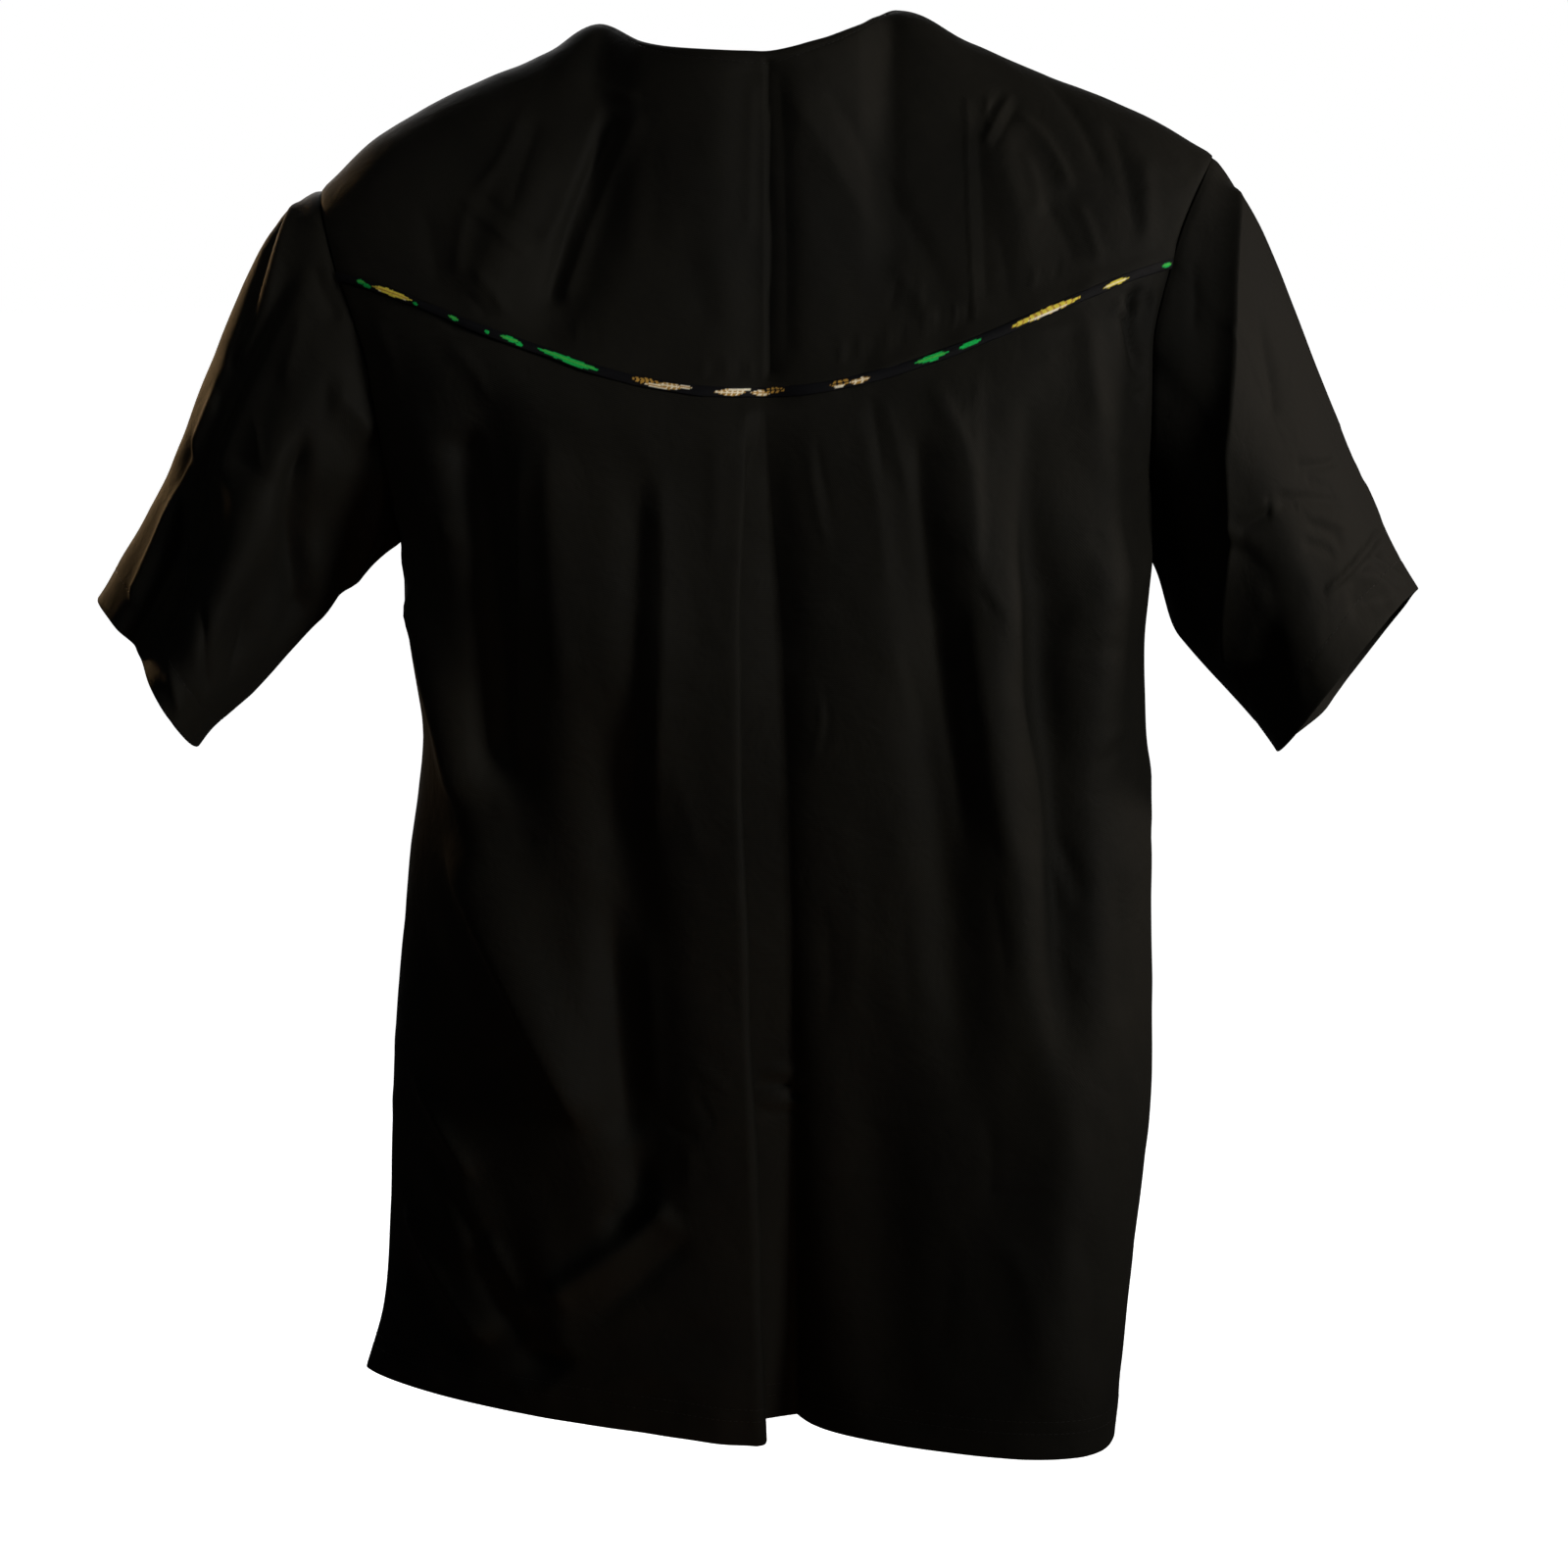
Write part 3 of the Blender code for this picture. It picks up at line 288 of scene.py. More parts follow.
# Finer creases of the back: as the folds, then the crest's exponent (1 is a
# sharp crease, 2 a round one) and how much wider its right flank is, if at all.
BACK_WRINKLES = [
    # x1, z1, x2, z2, x3, z3, half, out, fade, crest, skew
    (1961, -1364, 1918, -1555, 2005, -1803, 40, -50, 0.15, 1.4),
    (2033, -1371, 2055, -1560, 2026, -1841, 30, 40, 0.2, 1.2),
    (1859, -1480, 1908, -1629, 1956, -1854, 34, -35, 0.2, 1.3),
    (1829, -1407, 1895, -1498, 1973, -1507, 30, 26, 0.25, 1.3),
    (1886, -1872, 1948, -1937, 2015, -1924, 30, -30, 0.25, 1.4),
    (5, -5435, 95, -5402, 202, -5403, 26, 26, 0.2, 1.2),
    (51, -5495, 141, -5495, 220, -5573, 30, -26, 0.2, 1.3),
    (-23, -5577, 97, -5573, 142, -5549, 24, 22, 0.2, 1.2),
    (-1528, -2051, -1404, -2802, -1345, -3968, 120, -75, 0.12, 2.4, -0.2),
    (-1198, -2129, -1208, -2982, -1231, -3906, 90, 35, 0.15, 1.4, 0.3),
    (-1831, -2905, -1704, -3452, -1531, -4112, 110, 65, 0.2, 1.6, 0.3),
    (-1393, -4047, -1296, -4064, -1163, -4049, 32, 16, 0.3, 1.3, 0.5),
    (-1289, -4197, -1209, -4211, -1149, -4222, 22, -10, 0.3, 1.4),
    (-1664, -4222, -1297, -4957, -880, -5794, 120, 85, 0.2, 1.5, 0.45),
    (-1871, -4567, -1686, -5099, -1262, -5762, 160, -45, 0.3, 2),
    (-1057, -2042, -1039, -2686, -992, -3490, 120, 35, 0.25, 1.6, 0.2),
    (-598, -2169, -621, -3067, -680, -4424, 110, -45, 0.3, 1.8, -0.4),
    (-507, -2219, -484, -3055, -536, -4286, 90, 30, 0.25, 1.3, 0.4),
    (-777, -4410, -711, -5248, -669, -5833, 110, -65, 0.25, 1.8, -0.2),
    (-678, -5713, -651, -6097, -871, -6290, 100, -55, 0.4, 1.8),
    (-576, -4559, -540, -5126, -526, -5652, 80, 18, 0.3, 1.6),
    (-1139, -6662, -784, -6400, -441, -6109, 90, 65, 0.12, 1.6, -0.4),
    (-911, -6789, -614, -6522, -306, -6236, 70, -24, 0.3, 1.6),
    (-1326, -6447, -1133, -6495, -940, -6608, 10, -3.5, 0.2, 1.2),
    (-1907, -5511, -1682, -5826, -1498, -6111, 70, 45, 0.3, 1.4, 0.3),
    (-1818, -5867, -1641, -6182, -1412, -6585, 80, -45, 0.3, 1.6),
    (-1913, -6259, -1705, -6637, -1413, -6993, 80, 70, 0.2, 1.5, 0.2),
    (-1955, -6526, -1785, -6873, -1525, -7096, 80, -40, 0.3, 1.6),
    (-1593, -6433, -1428, -6680, -1225, -6944, 70, -40, 0.3, 1.6),
    (-1477, -6359, -1317, -6556, -1185, -6835, 60, 40, 0.25, 1.4),
    (-1280, -6970, -1124, -7001, -947, -6980, 70, -22, 0.4, 1.6),
    (-1500, -7096, -1401, -7098, -1266, -7076, 24, 9, 0.3, 1.3),
    (-1374, -7225, -1205, -7179, -1021, -7209, 90, 16, 0.4, 1.8),
    (-2086, -7262, -1893, -7215, -1655, -7244, 60, 16, 0.3, 1.6),
    (-2032, -6626, -1988, -6627, -1873, -6597, 18, 9, 0.35, 1.3),
    (-2042, -6749, -1979, -6721, -1893, -6693, 16, -9, 0.35, 1.3),
    (-2052, -6838, -2000, -6809, -1859, -6784, 16, 12, 0.35, 1.2),
    (-2064, -6923, -1995, -6896, -1885, -6870, 15, -10, 0.35, 1.3),
    (-2079, -7005, -2023, -6979, -1933, -6953, 14, 8, 0.35, 1.3),
    (-2098, -7084, -1992, -7060, -1826, -7037, 16, 12, 0.35, 1.2),
    (-2124, -7161, -2013, -7137, -1865, -7114, 15, -9, 0.35, 1.3),
    (-2148, -7236, -2046, -7187, -1942, -7164, 14, 8, 0.35, 1.3),
    (-1939, -5173, -1885, -5176, -1826, -5134, 16, 9, 0.35, 1.3),
    (-1934, -5351, -1898, -5353, -1838, -5326, 15, 8, 0.35, 1.3),
    (-1932, -2097, -1826, -2310, -1674, -2539, 40, 17, 0.25, 1.4),
    (-1674, -2539, -1565, -2644, -1446, -2752, 34, 15, 0.3, 1.3),
    (-1934, -2445, -1841, -2538, -1626, -2704, 40, -16, 0.3, 1.5),
    (-1894, -2765, -1818, -2952, -1704, -3289, 50, 18, 0.35, 1.6),
    (-1647, -1535, -1466, -1581, -1261, -1635, 40, -18, 0.3, 1.4),
    (-1617, -1666, -1467, -1748, -1335, -1978, 60, 18, 0.35, 1.5),
    (-2026, -1570, -1889, -1698, -1872, -1992, 50, 14, 0.35, 1.5),
    (-1142, -3168, -1092, -3305, -1001, -3409, 12, 5, 0.35, 1.2),
    (-1084, -3185, -1073, -3311, -984, -3373, 10, -3.5, 0.35, 1.2),
    (-670, -3482, -415, -3487, -161, -3481, 22, 5, 0.3, 1.4),
    (-498, -3361, -373, -3381, -193, -3372, 20, -4, 0.3, 1.4),
    (-444, -3754, -358, -4000, -301, -4275, 50, 7, 0.35, 1.6),
    (-404, -2684, -322, -2957, -279, -3244, 60, -8, 0.35, 1.6),
    (-241, -2022, -208, -2358, -237, -2814, 60, 9, 0.35, 1.6),
    (-373, -5317, -255, -5399, -129, -5494, 40, 12, 0.35, 1.3),
    (-338, -5459, -285, -5570, -216, -5693, 30, -12, 0.35, 1.4),
    (-500, -5654, -417, -5706, -295, -5736, 34, -14, 0.35, 1.4),
    (-386, -5779, -353, -5899, -393, -6040, 40, 10, 0.35, 1.5),
    (-676, -6120, -441, -6109, -164, -6119, 16, 4.5, 0.3, 1.2),
    (-427, -4911, -285, -4964, -158, -4928, 60, -6, 0.4, 1.6),
    (-843, -7088, -575, -7019, -284, -7058, 80, 8, 0.4, 1.8),
    (-784, -6766, -469, -6779, -124, -6709, 100, -8, 0.4, 1.8),
    (6, -5495, 95, -5435, 201, -5367, 15, -13, 0.15, 1.3),
    (51, -5495, 141, -5435, 236, -5495, 30, 15, 0.2, 1.2),
    (142, -5549, 203, -5549, 272, -5522, 15, -12, 0.2, 1.3),
    (7, -5548, 96, -5522, 221, -5597, 30, 14, 0.2, 1.2),
    (8, -5644, 98, -5644, 221, -5644, 14, -9, 0.2, 1.3),
    (-6, -4718, 87, -4802, 177, -4720, 20, 6, 0.3, 1.3),
    (19, -6528, 107, -6595, 151, -6562, 20, 4.5, 0.3, 1.3),
    (-62, -3375, 51, -3414, 146, -3380, 30, -6, 0.3, 1.5),
    (281, -3303, 319, -3519, 270, -3753, 13, 8, 0.25, 1.2),
    (319, -3374, 356, -3553, 306, -3751, 20, -6, 0.3, 1.3),
    (245, -2067, 293, -2421, 371, -2700, 34, 9, 0.35, 1.5),
    (303, -2089, 321, -2280, 384, -2518, 26, -7, 0.35, 1.5),
    (460, -1883, 591, -2376, 666, -3063, 70, 12, 0.35, 1.6),
    (626, -1845, 699, -2140, 774, -2482, 50, 9, 0.35, 1.5),
    (554, -1863, 597, -2066, 635, -2367, 40, -9, 0.35, 1.5),
    (723, -3177, 784, -3352, 851, -3686, 30, -7, 0.35, 1.4),
    (646, -3067, 722, -3327, 763, -3621, 34, 7, 0.35, 1.4),
    (815, -2074, 851, -2769, 1092, -4366, 80, -30, 0.2, 1.6, 0.35),
    (864, -1824, 1065, -2217, 1080, -2796, 70, 20, 0.2, 1.4, -0.4),
    (1079, -2839, 1156, -3465, 1318, -4459, 80, 22, 0.25, 1.6),
    (1108, -1791, 1110, -2278, 1101, -2834, 18, 9, 0.12, 1.1, 0.6),
    (1138, -1901, 1136, -2270, 1150, -2821, 34, -9, 0.2, 1.4, 0.4),
    (1124, -2873, 1166, -2953, 1234, -3062, 16, -11, 0.25, 1.2),
    (1150, -2821, 1214, -2940, 1300, -3001, 26, 8, 0.3, 1.4),
    (931, -1777, 1010, -1980, 1072, -2139, 22, -8, 0.3, 1.3),
    (843, -1806, 909, -1947, 974, -2062, 24, 8, 0.3, 1.3),
    (1392, -1878, 1373, -2666, 1462, -3880, 110, -36, 0.2, 1.8, 0.25),
    (1253, -2270, 1287, -2872, 1343, -3380, 70, 14, 0.3, 1.5),
    (1664, -1443, 1702, -1809, 1732, -2084, 90, 26, 0.3, 1.6, 0.2),
    (1886, -1996, 2024, -2547, 1942, -3006, 60, 26, 0.3, 1.6),
    (1751, -2161, 1857, -2213, 1971, -2304, 30, -14, 0.3, 1.4),
    (1845, -2381, 1891, -2409, 1986, -2383, 26, -10, 0.3, 1.4),
    (1685, -2585, 1733, -2662, 1787, -2742, 40, -11, 0.3, 1.4),
    (1563, -3008, 1702, -2979, 1921, -2886, 70, 18, 0.3, 1.6),
    (1616, -3195, 1718, -3176, 1900, -3220, 40, -16, 0.3, 1.5),
    (1727, -3828, 1822, -3726, 1912, -3708, 26, -16, 0.25, 1.3),
    (1695, -3750, 1800, -3648, 1895, -3629, 34, 14, 0.3, 1.4),
    (1951, -3618, 2065, -3995, 2082, -4266, 40, 16, 0.35, 1.5),
    (1448, -4179, 1531, -4333, 1579, -4546, 40, 18, 0.3, 1.3, 0.3),
    (1485, -4128, 1586, -4282, 1673, -4535, 50, -18, 0.3, 1.5),
    (1553, -4593, 1627, -4810, 1703, -4988, 60, 12, 0.35, 1.5),
    (1183, -4353, 1229, -4597, 1272, -4899, 50, -12, 0.35, 1.5),
    (1226, -4859, 1346, -4891, 1416, -4837, 30, 7, 0.35, 1.4),
    (1836, -4292, 1877, -4694, 1856, -5207, 80, -18, 0.35, 1.6),
    (279, -5947, 829, -5950, 1570, -5927, 17, 5.5, 0.08, 1.1, 0.4),
    (1168, -6001, 1340, -5990, 1569, -5975, 24, -5, 0.2, 1.3),
    (430, -5569, 739, -5649, 1032, -5582, 70, 7, 0.4, 1.7),
    (482, -5187, 788, -5259, 1130, -5185, 80, -7, 0.4, 1.7),
    (379, -6659, 793, -6684, 1187, -6574, 80, 7, 0.4, 1.7),
    (1144, -5500, 1195, -5785, 1169, -6096, 60, -9, 0.4, 1.6),
    (1185, -6095, 1392, -6494, 1451, -6948, 100, 15, 0.35, 1.8),
    (1634, -6092, 1729, -6519, 1702, -7037, 90, -18, 0.35, 1.6),
    (938, -6110, 984, -6510, 892, -6947, 90, -10, 0.4, 1.8),
    (468, -4173, 506, -4669, 460, -5188, 80, 9, 0.4, 1.7),
    (320, -4369, 367, -4799, 340, -5236, 50, -7, 0.4, 1.6),
    (687, -4380, 757, -4776, 785, -5214, 70, -8, 0.4, 1.7),
    (1781, -1398, 1909, -1435, 2005, -1379, 40, -15, 0.3, 1.4),
    (1895, -1498, 1950, -1656, 2005, -1803, 30, 18, 0.25, 1.3),
    (1989, -1383, 2012, -1498, 1997, -1646, 26, -18, 0.25, 1.3),
    (1925, -1780, 1966, -1811, 2026, -1882, 22, -14, 0.3, 1.3),
    (1971, -1932, 1993, -2010, 2024, -2130, 24, 12, 0.3, 1.3),
    (1235, -1569, 1430, -1587, 1677, -1544, 40, 10, 0.35, 1.5),
]
YOKE_WRINKLES = [
    # x1, z1, x2, z2, x3, z3, half, out, fade, crest, skew
    (-713, -490, -914, -939, -1074, -1504, 60, -46, 0.12, 1.7),
    (-817, -337, -915, -771, -1118, -1212, 70, 22, 0.2, 1.5),
    (-602, -474, -808, -961, -997, -1482, 50, 22, 0.15, 1.4),
    (-881, -329, -754, -383, -600, -427, 50, 16, 0.3, 1.5),
    (-1201, -401, -1312, -716, -1487, -916, 60, 18, 0.3, 1.4),
    (-1120, -465, -1213, -769, -1276, -1017, 50, -14, 0.3, 1.5),
    (-1469, -900, -1516, -1116, -1532, -1353, 60, 17, 0.3, 1.5),
    (-1565, -891, -1334, -1084, -1138, -1230, 32, 14, 0.25, 1.3),
    (-1489, -841, -1276, -1017, -1081, -1115, 30, -10, 0.3, 1.4),
    (-1455, -1267, -1372, -1365, -1226, -1549, 40, 13, 0.3, 1.4),
    (-1511, -1388, -1430, -1456, -1378, -1530, 30, -10, 0.3, 1.4),
    (-1753, -918, -1678, -1156, -1645, -1387, 90, -16, 0.35, 1.6),
    (-459, -1060, -303, -1354, -280, -1641, 120, -14, 0.35, 1.8),
    (-556, -423, -521, -803, -568, -1208, 100, -10, 0.35, 1.8),
    (-24, -252, -44, -670, -48, -1153, 50, 12, 0.25, 1.6),
    (34, -198, 49, -920, 42, -1851, 50, -36, 0.05, 1.1, 0.9),
    (96, -219, 135, -908, 138, -1792, 60, -12, 0.15, 1.6, 0.3),
    (129, -367, 388, -764, 655, -1199, 80, 17, 0.25, 1.6),
    (655, -1199, 785, -1394, 953, -1582, 60, 14, 0.35, 1.5),
    (307, -282, 639, -822, 1013, -1488, 80, -20, 0.2, 1.7),
    (1070, -383, 1072, -916, 1098, -1571, 18, 10, 0.1, 1.1, 0.6),
    (1126, -413, 1139, -916, 1162, -1497, 45, -10, 0.2, 1.4, 0.4),
    (1325, -374, 1235, -510, 1155, -668, 18, 14, 0.2, 1.1),
    (1275, -369, 1193, -487, 1145, -600, 24, -11, 0.25, 1.2),
    (1359, -416, 1279, -548, 1197, -690, 24, -10, 0.25, 1.2),
    (1316, -489, 1491, -643, 1614, -908, 50, 20, 0.2, 1.3, -0.3),
    (1614, -908, 1696, -1086, 1749, -1269, 40, 16, 0.3, 1.3),
    (1341, -661, 1408, -820, 1430, -1053, 50, 12, 0.3, 1.5),
    (1442, -912, 1550, -1067, 1629, -1256, 40, -13, 0.3, 1.4),
    (1462, -301, 1651, -510, 1801, -869, 50, -16, 0.3, 1.4),
    (1799, -516, 1893, -767, 1957, -1163, 60, -16, 0.3, 1.5),
    (1994, -668, 2001, -913, 1986, -1223, 60, 15, 0.3, 1.6),
    (1199, -393, 1179, -469, 1190, -560, 22, 9, 0.3, 1.3),
    (1198, -1060, 1257, -1263, 1277, -1457, 50, -9, 0.35, 1.5),
    (638, -1544, 691, -1392, 710, -1296, 24, -7, 0.35, 1.4),
    (785, -1546, 823, -1408, 805, -1257, 26, 7, 0.35, 1.4),
    (-289, -1843, -275, -1773, -278, -1699, 16, 7, 0.4, 1.3),
    (-237, -1847, -224, -1777, -210, -1704, 15, -6, 0.4, 1.3),
    (-172, -1851, -159, -1781, -178, -1686, 16, 8, 0.4, 1.3),
    (-109, -1870, -98, -1782, -100, -1708, 15, -7, 0.4, 1.3),
    (-39, -1870, -42, -1782, -30, -1727, 15, 7, 0.4, 1.3),
    (404, -1772, 419, -1692, 402, -1616, 16, 8, 0.4, 1.3),
    (452, -1762, 468, -1681, 467, -1621, 15, -7, 0.4, 1.3),
    (518, -1747, 518, -1669, 517, -1587, 16, 8, 0.4, 1.3),
    (569, -1733, 586, -1648, 568, -1591, 15, -6, 0.4, 1.3),
    (639, -1713, 656, -1624, 638, -1522, 16, 8, 0.4, 1.3),
    (711, -1692, 729, -1603, 710, -1499, 15, -7, 0.4, 1.3),
    (842, -1654, 842, -1553, 842, -1469, 16, 8, 0.4, 1.3),
    (900, -1617, 920, -1533, 921, -1431, 15, -8, 0.4, 1.3),
    (968, -1596, 999, -1511, 986, -1417, 16, 9, 0.4, 1.3),
    (1049, -1570, 1063, -1492, 1065, -1417, 15, -7, 0.4, 1.3),
    (-926, -1673, -914, -1579, -939, -1493, 18, 7, 0.4, 1.3),
    (-845, -1695, -811, -1626, -836, -1557, 18, -6, 0.4, 1.3),
    (-1300, -1556, -1317, -1459, -1369, -1382, 20, 8, 0.4, 1.3),
    (1373, -1408, 1401, -1324, 1391, -1233, 18, 8, 0.4, 1.3),
    (1495, -1366, 1524, -1287, 1514, -1204, 18, -7, 0.4, 1.3),
]
FRONT_WRINKLES = [
    # x1, z1, x2, z2, x3, z3, half, out, fade, crest, skew
    (-1760, -3000, -1500, -3800, -1100, -4400, 60, 22, 0.3, 1.5),
    (-1840, -3300, -1600, -4000, -1320, -4500, 60, -20, 0.3, 1.5),
    (-1600, -1100, -1300, -1500, -1120, -2100, 50, 18, 0.3, 1.4),
    (-1480, -1050, -1200, -1400, -1000, -1900, 60, -16, 0.3, 1.6),
    (-600, -1300, -400, -1700, -60, -1900, 60, 14, 0.3, 1.5),
    (600, -1280, 440, -1640, 160, -1860, 60, 14, 0.3, 1.5),
    (1500, -1000, 1320, -1500, 1060, -2000, 60, 18, 0.3, 1.4),
    (1800, -3100, 1500, -3700, 1180, -4200, 60, 22, 0.3, 1.5),
    (1840, -3500, 1600, -4100, 1360, -4700, 60, -20, 0.3, 1.5),
    (-1500, -6400, -1100, -6520, -600, -6480, 50, 8, 0.3, 1.4),
    (200, -6000, 700, -6120, 1300, -6040, 50, 7, 0.3, 1.4),
    (-860, -4300, -800, -5200, -880, -6000, 60, -14, 0.3, 1.6),
    (320, -3800, 260, -4800, 300, -5600, 70, 14, 0.3, 1.6),
    (1160, -4800, 1260, -5600, 1220, -6600, 60, -16, 0.3, 1.6),
    (-300, -5000, -360, -5800, -280, -6800, 60, 12, 0.3, 1.5),
]
# Finer creases of the sleeves, with the way round (0 at the top, SLEEVE_DEGREE a
# degree) and the way down the sleeve instead of x and z.
SLEEVE_WRINKLES = {
    "left": [
        (138, 220, 393, 497, 472, 896, 50, -55, 0.1, 1.4),
        (472, 991, 452, 1621, 472, 2224, 80, 35, 0.08, 1.3, -0.4),
        (98, 122, 452, 363, 492, 859, 70, 30, 0.15, 1.4),
        (452, 1314, 570, 1668, 964, 1902, 100, -50, 0.15, 1.8, 0.3),
        (708, 1070, 1023, 863, 1377, 608, 100, -25, 0.35, 1.7),
        (1062, 277, 1219, 137, 1436, 22, 90, 45, 0.3, 1.7),
        (1062, 534, 1495, 608, 2026, 744, 150, -90, 0.2, 2, 0.3),
        (1416, 46, 1829, 132, 2104, 466, 130, 75, 0.2, 1.6, -0.3),
        (1396, 1115, 1573, 1176, 1593, 1386, 70, -20, 0.35, 1.6),
        (1003, 1556, 1239, 1576, 1534, 1556, 60, -24, 0.3, 1.6),
        (983, 1952, 1180, 1895, 1416, 1848, 60, 26, 0.35, 1.6),
        (551, 92, 728, 103, 885, 67, 70, -20, 0.35, 1.6),
        (688, 224, 787, 352, 865, 559, 70, 16, 0.35, 1.6),
        (747, 811, 905, 800, 1003, 864, 40, 10, 0.35, 1.4),
        (3200, 500, 3300, 1000, 3440, 1600, 60, 20, 0.3, 1.5),
        (2800, 400, 2920, 900, 3000, 1400, 70, -22, 0.3, 1.6),
        (2600, 1200, 2760, 1500, 2900, 1860, 50, 18, 0.3, 1.4),
    ],
    "right": [
        (157, 122, 787, 504, 1396, 787, 220, 100, 0.1, 1, 0.35),
        (1259, 757, 1632, 812, 1868, 967, 200, 80, 0.25, 1, 0.35),
        (1318, 795, 1160, 967, 1023, 1115, 30, -24, 0.2, 1.2),
        (1298, 761, 1141, 930, 1023, 1069, 30, 12, 0.3, 1.4),
        (1023, 1115, 905, 1240, 846, 1337, 20, -12, 0.3, 1.3),
        (747, 1204, 570, 1424, 334, 1627, 28, -17, 0.2, 1.2),
        (688, 1232, 511, 1437, 334, 1584, 26, 8, 0.3, 1.4),
        (708, 1336, 610, 1490, 511, 1636, 30, -17, 0.2, 1.2),
        (1003, 1074, 747, 1397, 472, 1749, 30, -17, 0.2, 1.3),
        (964, 1083, 728, 1385, 452, 1716, 24, 11, 0.3, 1.3),
        (865, 1398, 728, 1597, 610, 1826, 40, -17, 0.3, 1.5),
        (964, 1397, 826, 1576, 728, 1753, 36, -13, 0.3, 1.5),
        (846, 1370, 708, 1569, 511, 1851, 30, 13, 0.3, 1.4),
        (905, 1418, 787, 1591, 708, 1745, 18, 10, 0.3, 1.3),
        (944, 1685, 610, 1934, 157, 2174, 24, 22, 0.12, 1.1, -0.4),
        (905, 1751, 590, 1998, 177, 2230, 30, -12, 0.2, 1.3),
        (472, 2022, 334, 2243, 157, 2470, 18, 14, 0.15, 1.1),
        (492, 2068, 393, 2250, 295, 2411, 26, -10, 0.25, 1.3),
        (846, 1889, 649, 2118, 413, 2379, 80, -30, 0.3, 1.6),
        (747, 1861, 551, 2090, 374, 2368, 40, 12, 0.3, 1.5),
        (20, 1588, 20, 1682, 20, 1844, 40, -10, 0.3, 1.5),
        (295, 1221, 138, 1347, 39, 1423, 20, -6, 0.3, 1.3),
        (452, 560, 610, 838, 728, 979, 90, -16, 0.3, 1.7),
        (1377, 1032, 1219, 1305, 1003, 1580, 70, -12, 0.35, 1.7),
        (1416, 1209, 1219, 1547, 1023, 1791, 70, 10, 0.35, 1.7),
        (1888, 962, 1908, 1051, 2104, 1069, 40, -12, 0.35, 1.5),
        (20, 1890, 20, 2003, 0, 2182, 30, 10, 0.35, 1.4),
        (649, 78, 747, 190, 924, 244, 70, -12, 0.35, 1.6),
        (3200, 600, 3360, 1100, 3500, 1700, 60, 20, 0.3, 1.5),
        (2840, 500, 2900, 1000, 3000, 1500, 70, -22, 0.3, 1.6),
        (3560, 1500, 3700, 1560, 3860, 1500, 30, 14, 0.3, 1.3),
        (2600, 1200, 2800, 1400, 2960, 1800, 50, 18, 0.3, 1.4),
    ],
}

# The print of the piping: where each motif starts and ends across the back, its
# middle and half height (the strip is 2 tall), its inks and its ribs.
PIPING_PRINT = [
    # start,  end,   middle, tall, ink,    second, ribs
    (-0.2070, -0.2020, -0.30, 0.60, "green", "lime", 0),
    (-0.2035, -0.1985, 0.35, 0.55, "green", "lime", 0),
    (-0.1985, -0.1770, -0.10, 0.80, "yellow", "gold", 0),
    (-0.1950, -0.1800, 0.45, 0.25, "cream", "yellow", 0),
    (-0.1765, -0.1735, 0.50, 0.45, "green", "green", 0),
    (-0.1580, -0.1520, 0.00, 0.50, "green", "lime", 0),
    (-0.1390, -0.1360, 0.10, 0.40, "green", "green", 0),
    (-0.1310, -0.1205, -0.10, 0.60, "green", "lime", 0),
    (-0.1230, -0.1190, 0.50, 0.40, "green", "green", 0),
    (-0.1125, -0.0790, 0.00, 0.85, "green", "lime", 0),
    (-0.0640, -0.0470, -0.25, 0.75, "gold", "ground", 7),
    (-0.0570, -0.0440, 0.45, 0.45, "cream", "gold", 0),
    (-0.0500, -0.0380, -0.10, 0.80, "gold", "cream", 5),
    (-0.0400, -0.0330, -0.35, 0.50, "cream", "gold", 0),
    (-0.0220, -0.0060, 0.10, 0.80, "gold", "cream", 6),
    (-0.0160, -0.0020, -0.50, 0.35, "cream", "cream", 0),
    (-0.0040, 0.0070, 0.20, 0.65, "cream", "gold", 4),
    (0.0020, 0.0140, -0.30, 0.65, "gold", "ground", 5),
    (0.0360, 0.0480, -0.10, 0.70, "gold", "ground", 4),
    (0.0460, 0.0570, 0.20, 0.60, "gold", "cream", 3),
    (0.0380, 0.0440, 0.55, 0.30, "cream", "cream", 0),
    (0.0790, 0.0960, -0.10, 0.70, "green", "lime", 0),
    (0.0860, 0.0920, 0.60, 0.35, "green", "green", 0),
    (0.1010, 0.1140, 0.05, 0.60, "green", "lime", 0),
    (0.1270, 0.1650, 0.05, 0.90, "yellow", "gold", 12),
    (0.1340, 0.1600, 0.55, 0.22, "cream", "cream", 0),
    (0.1760, 0.1900, 0.15, 0.65, "yellow", "cream", 0),
    (0.2080, 0.2135, 0.00, 0.60, "green", "lime", 0),
]
PRINT_INKS = {
    "ground": "#07080d",
    "green": "#16c45a",
    "lime": "#5fc24a",
    "yellow": "#f0df55",
    "gold": "#c79a45",
    "cream": "#fff6de",
}

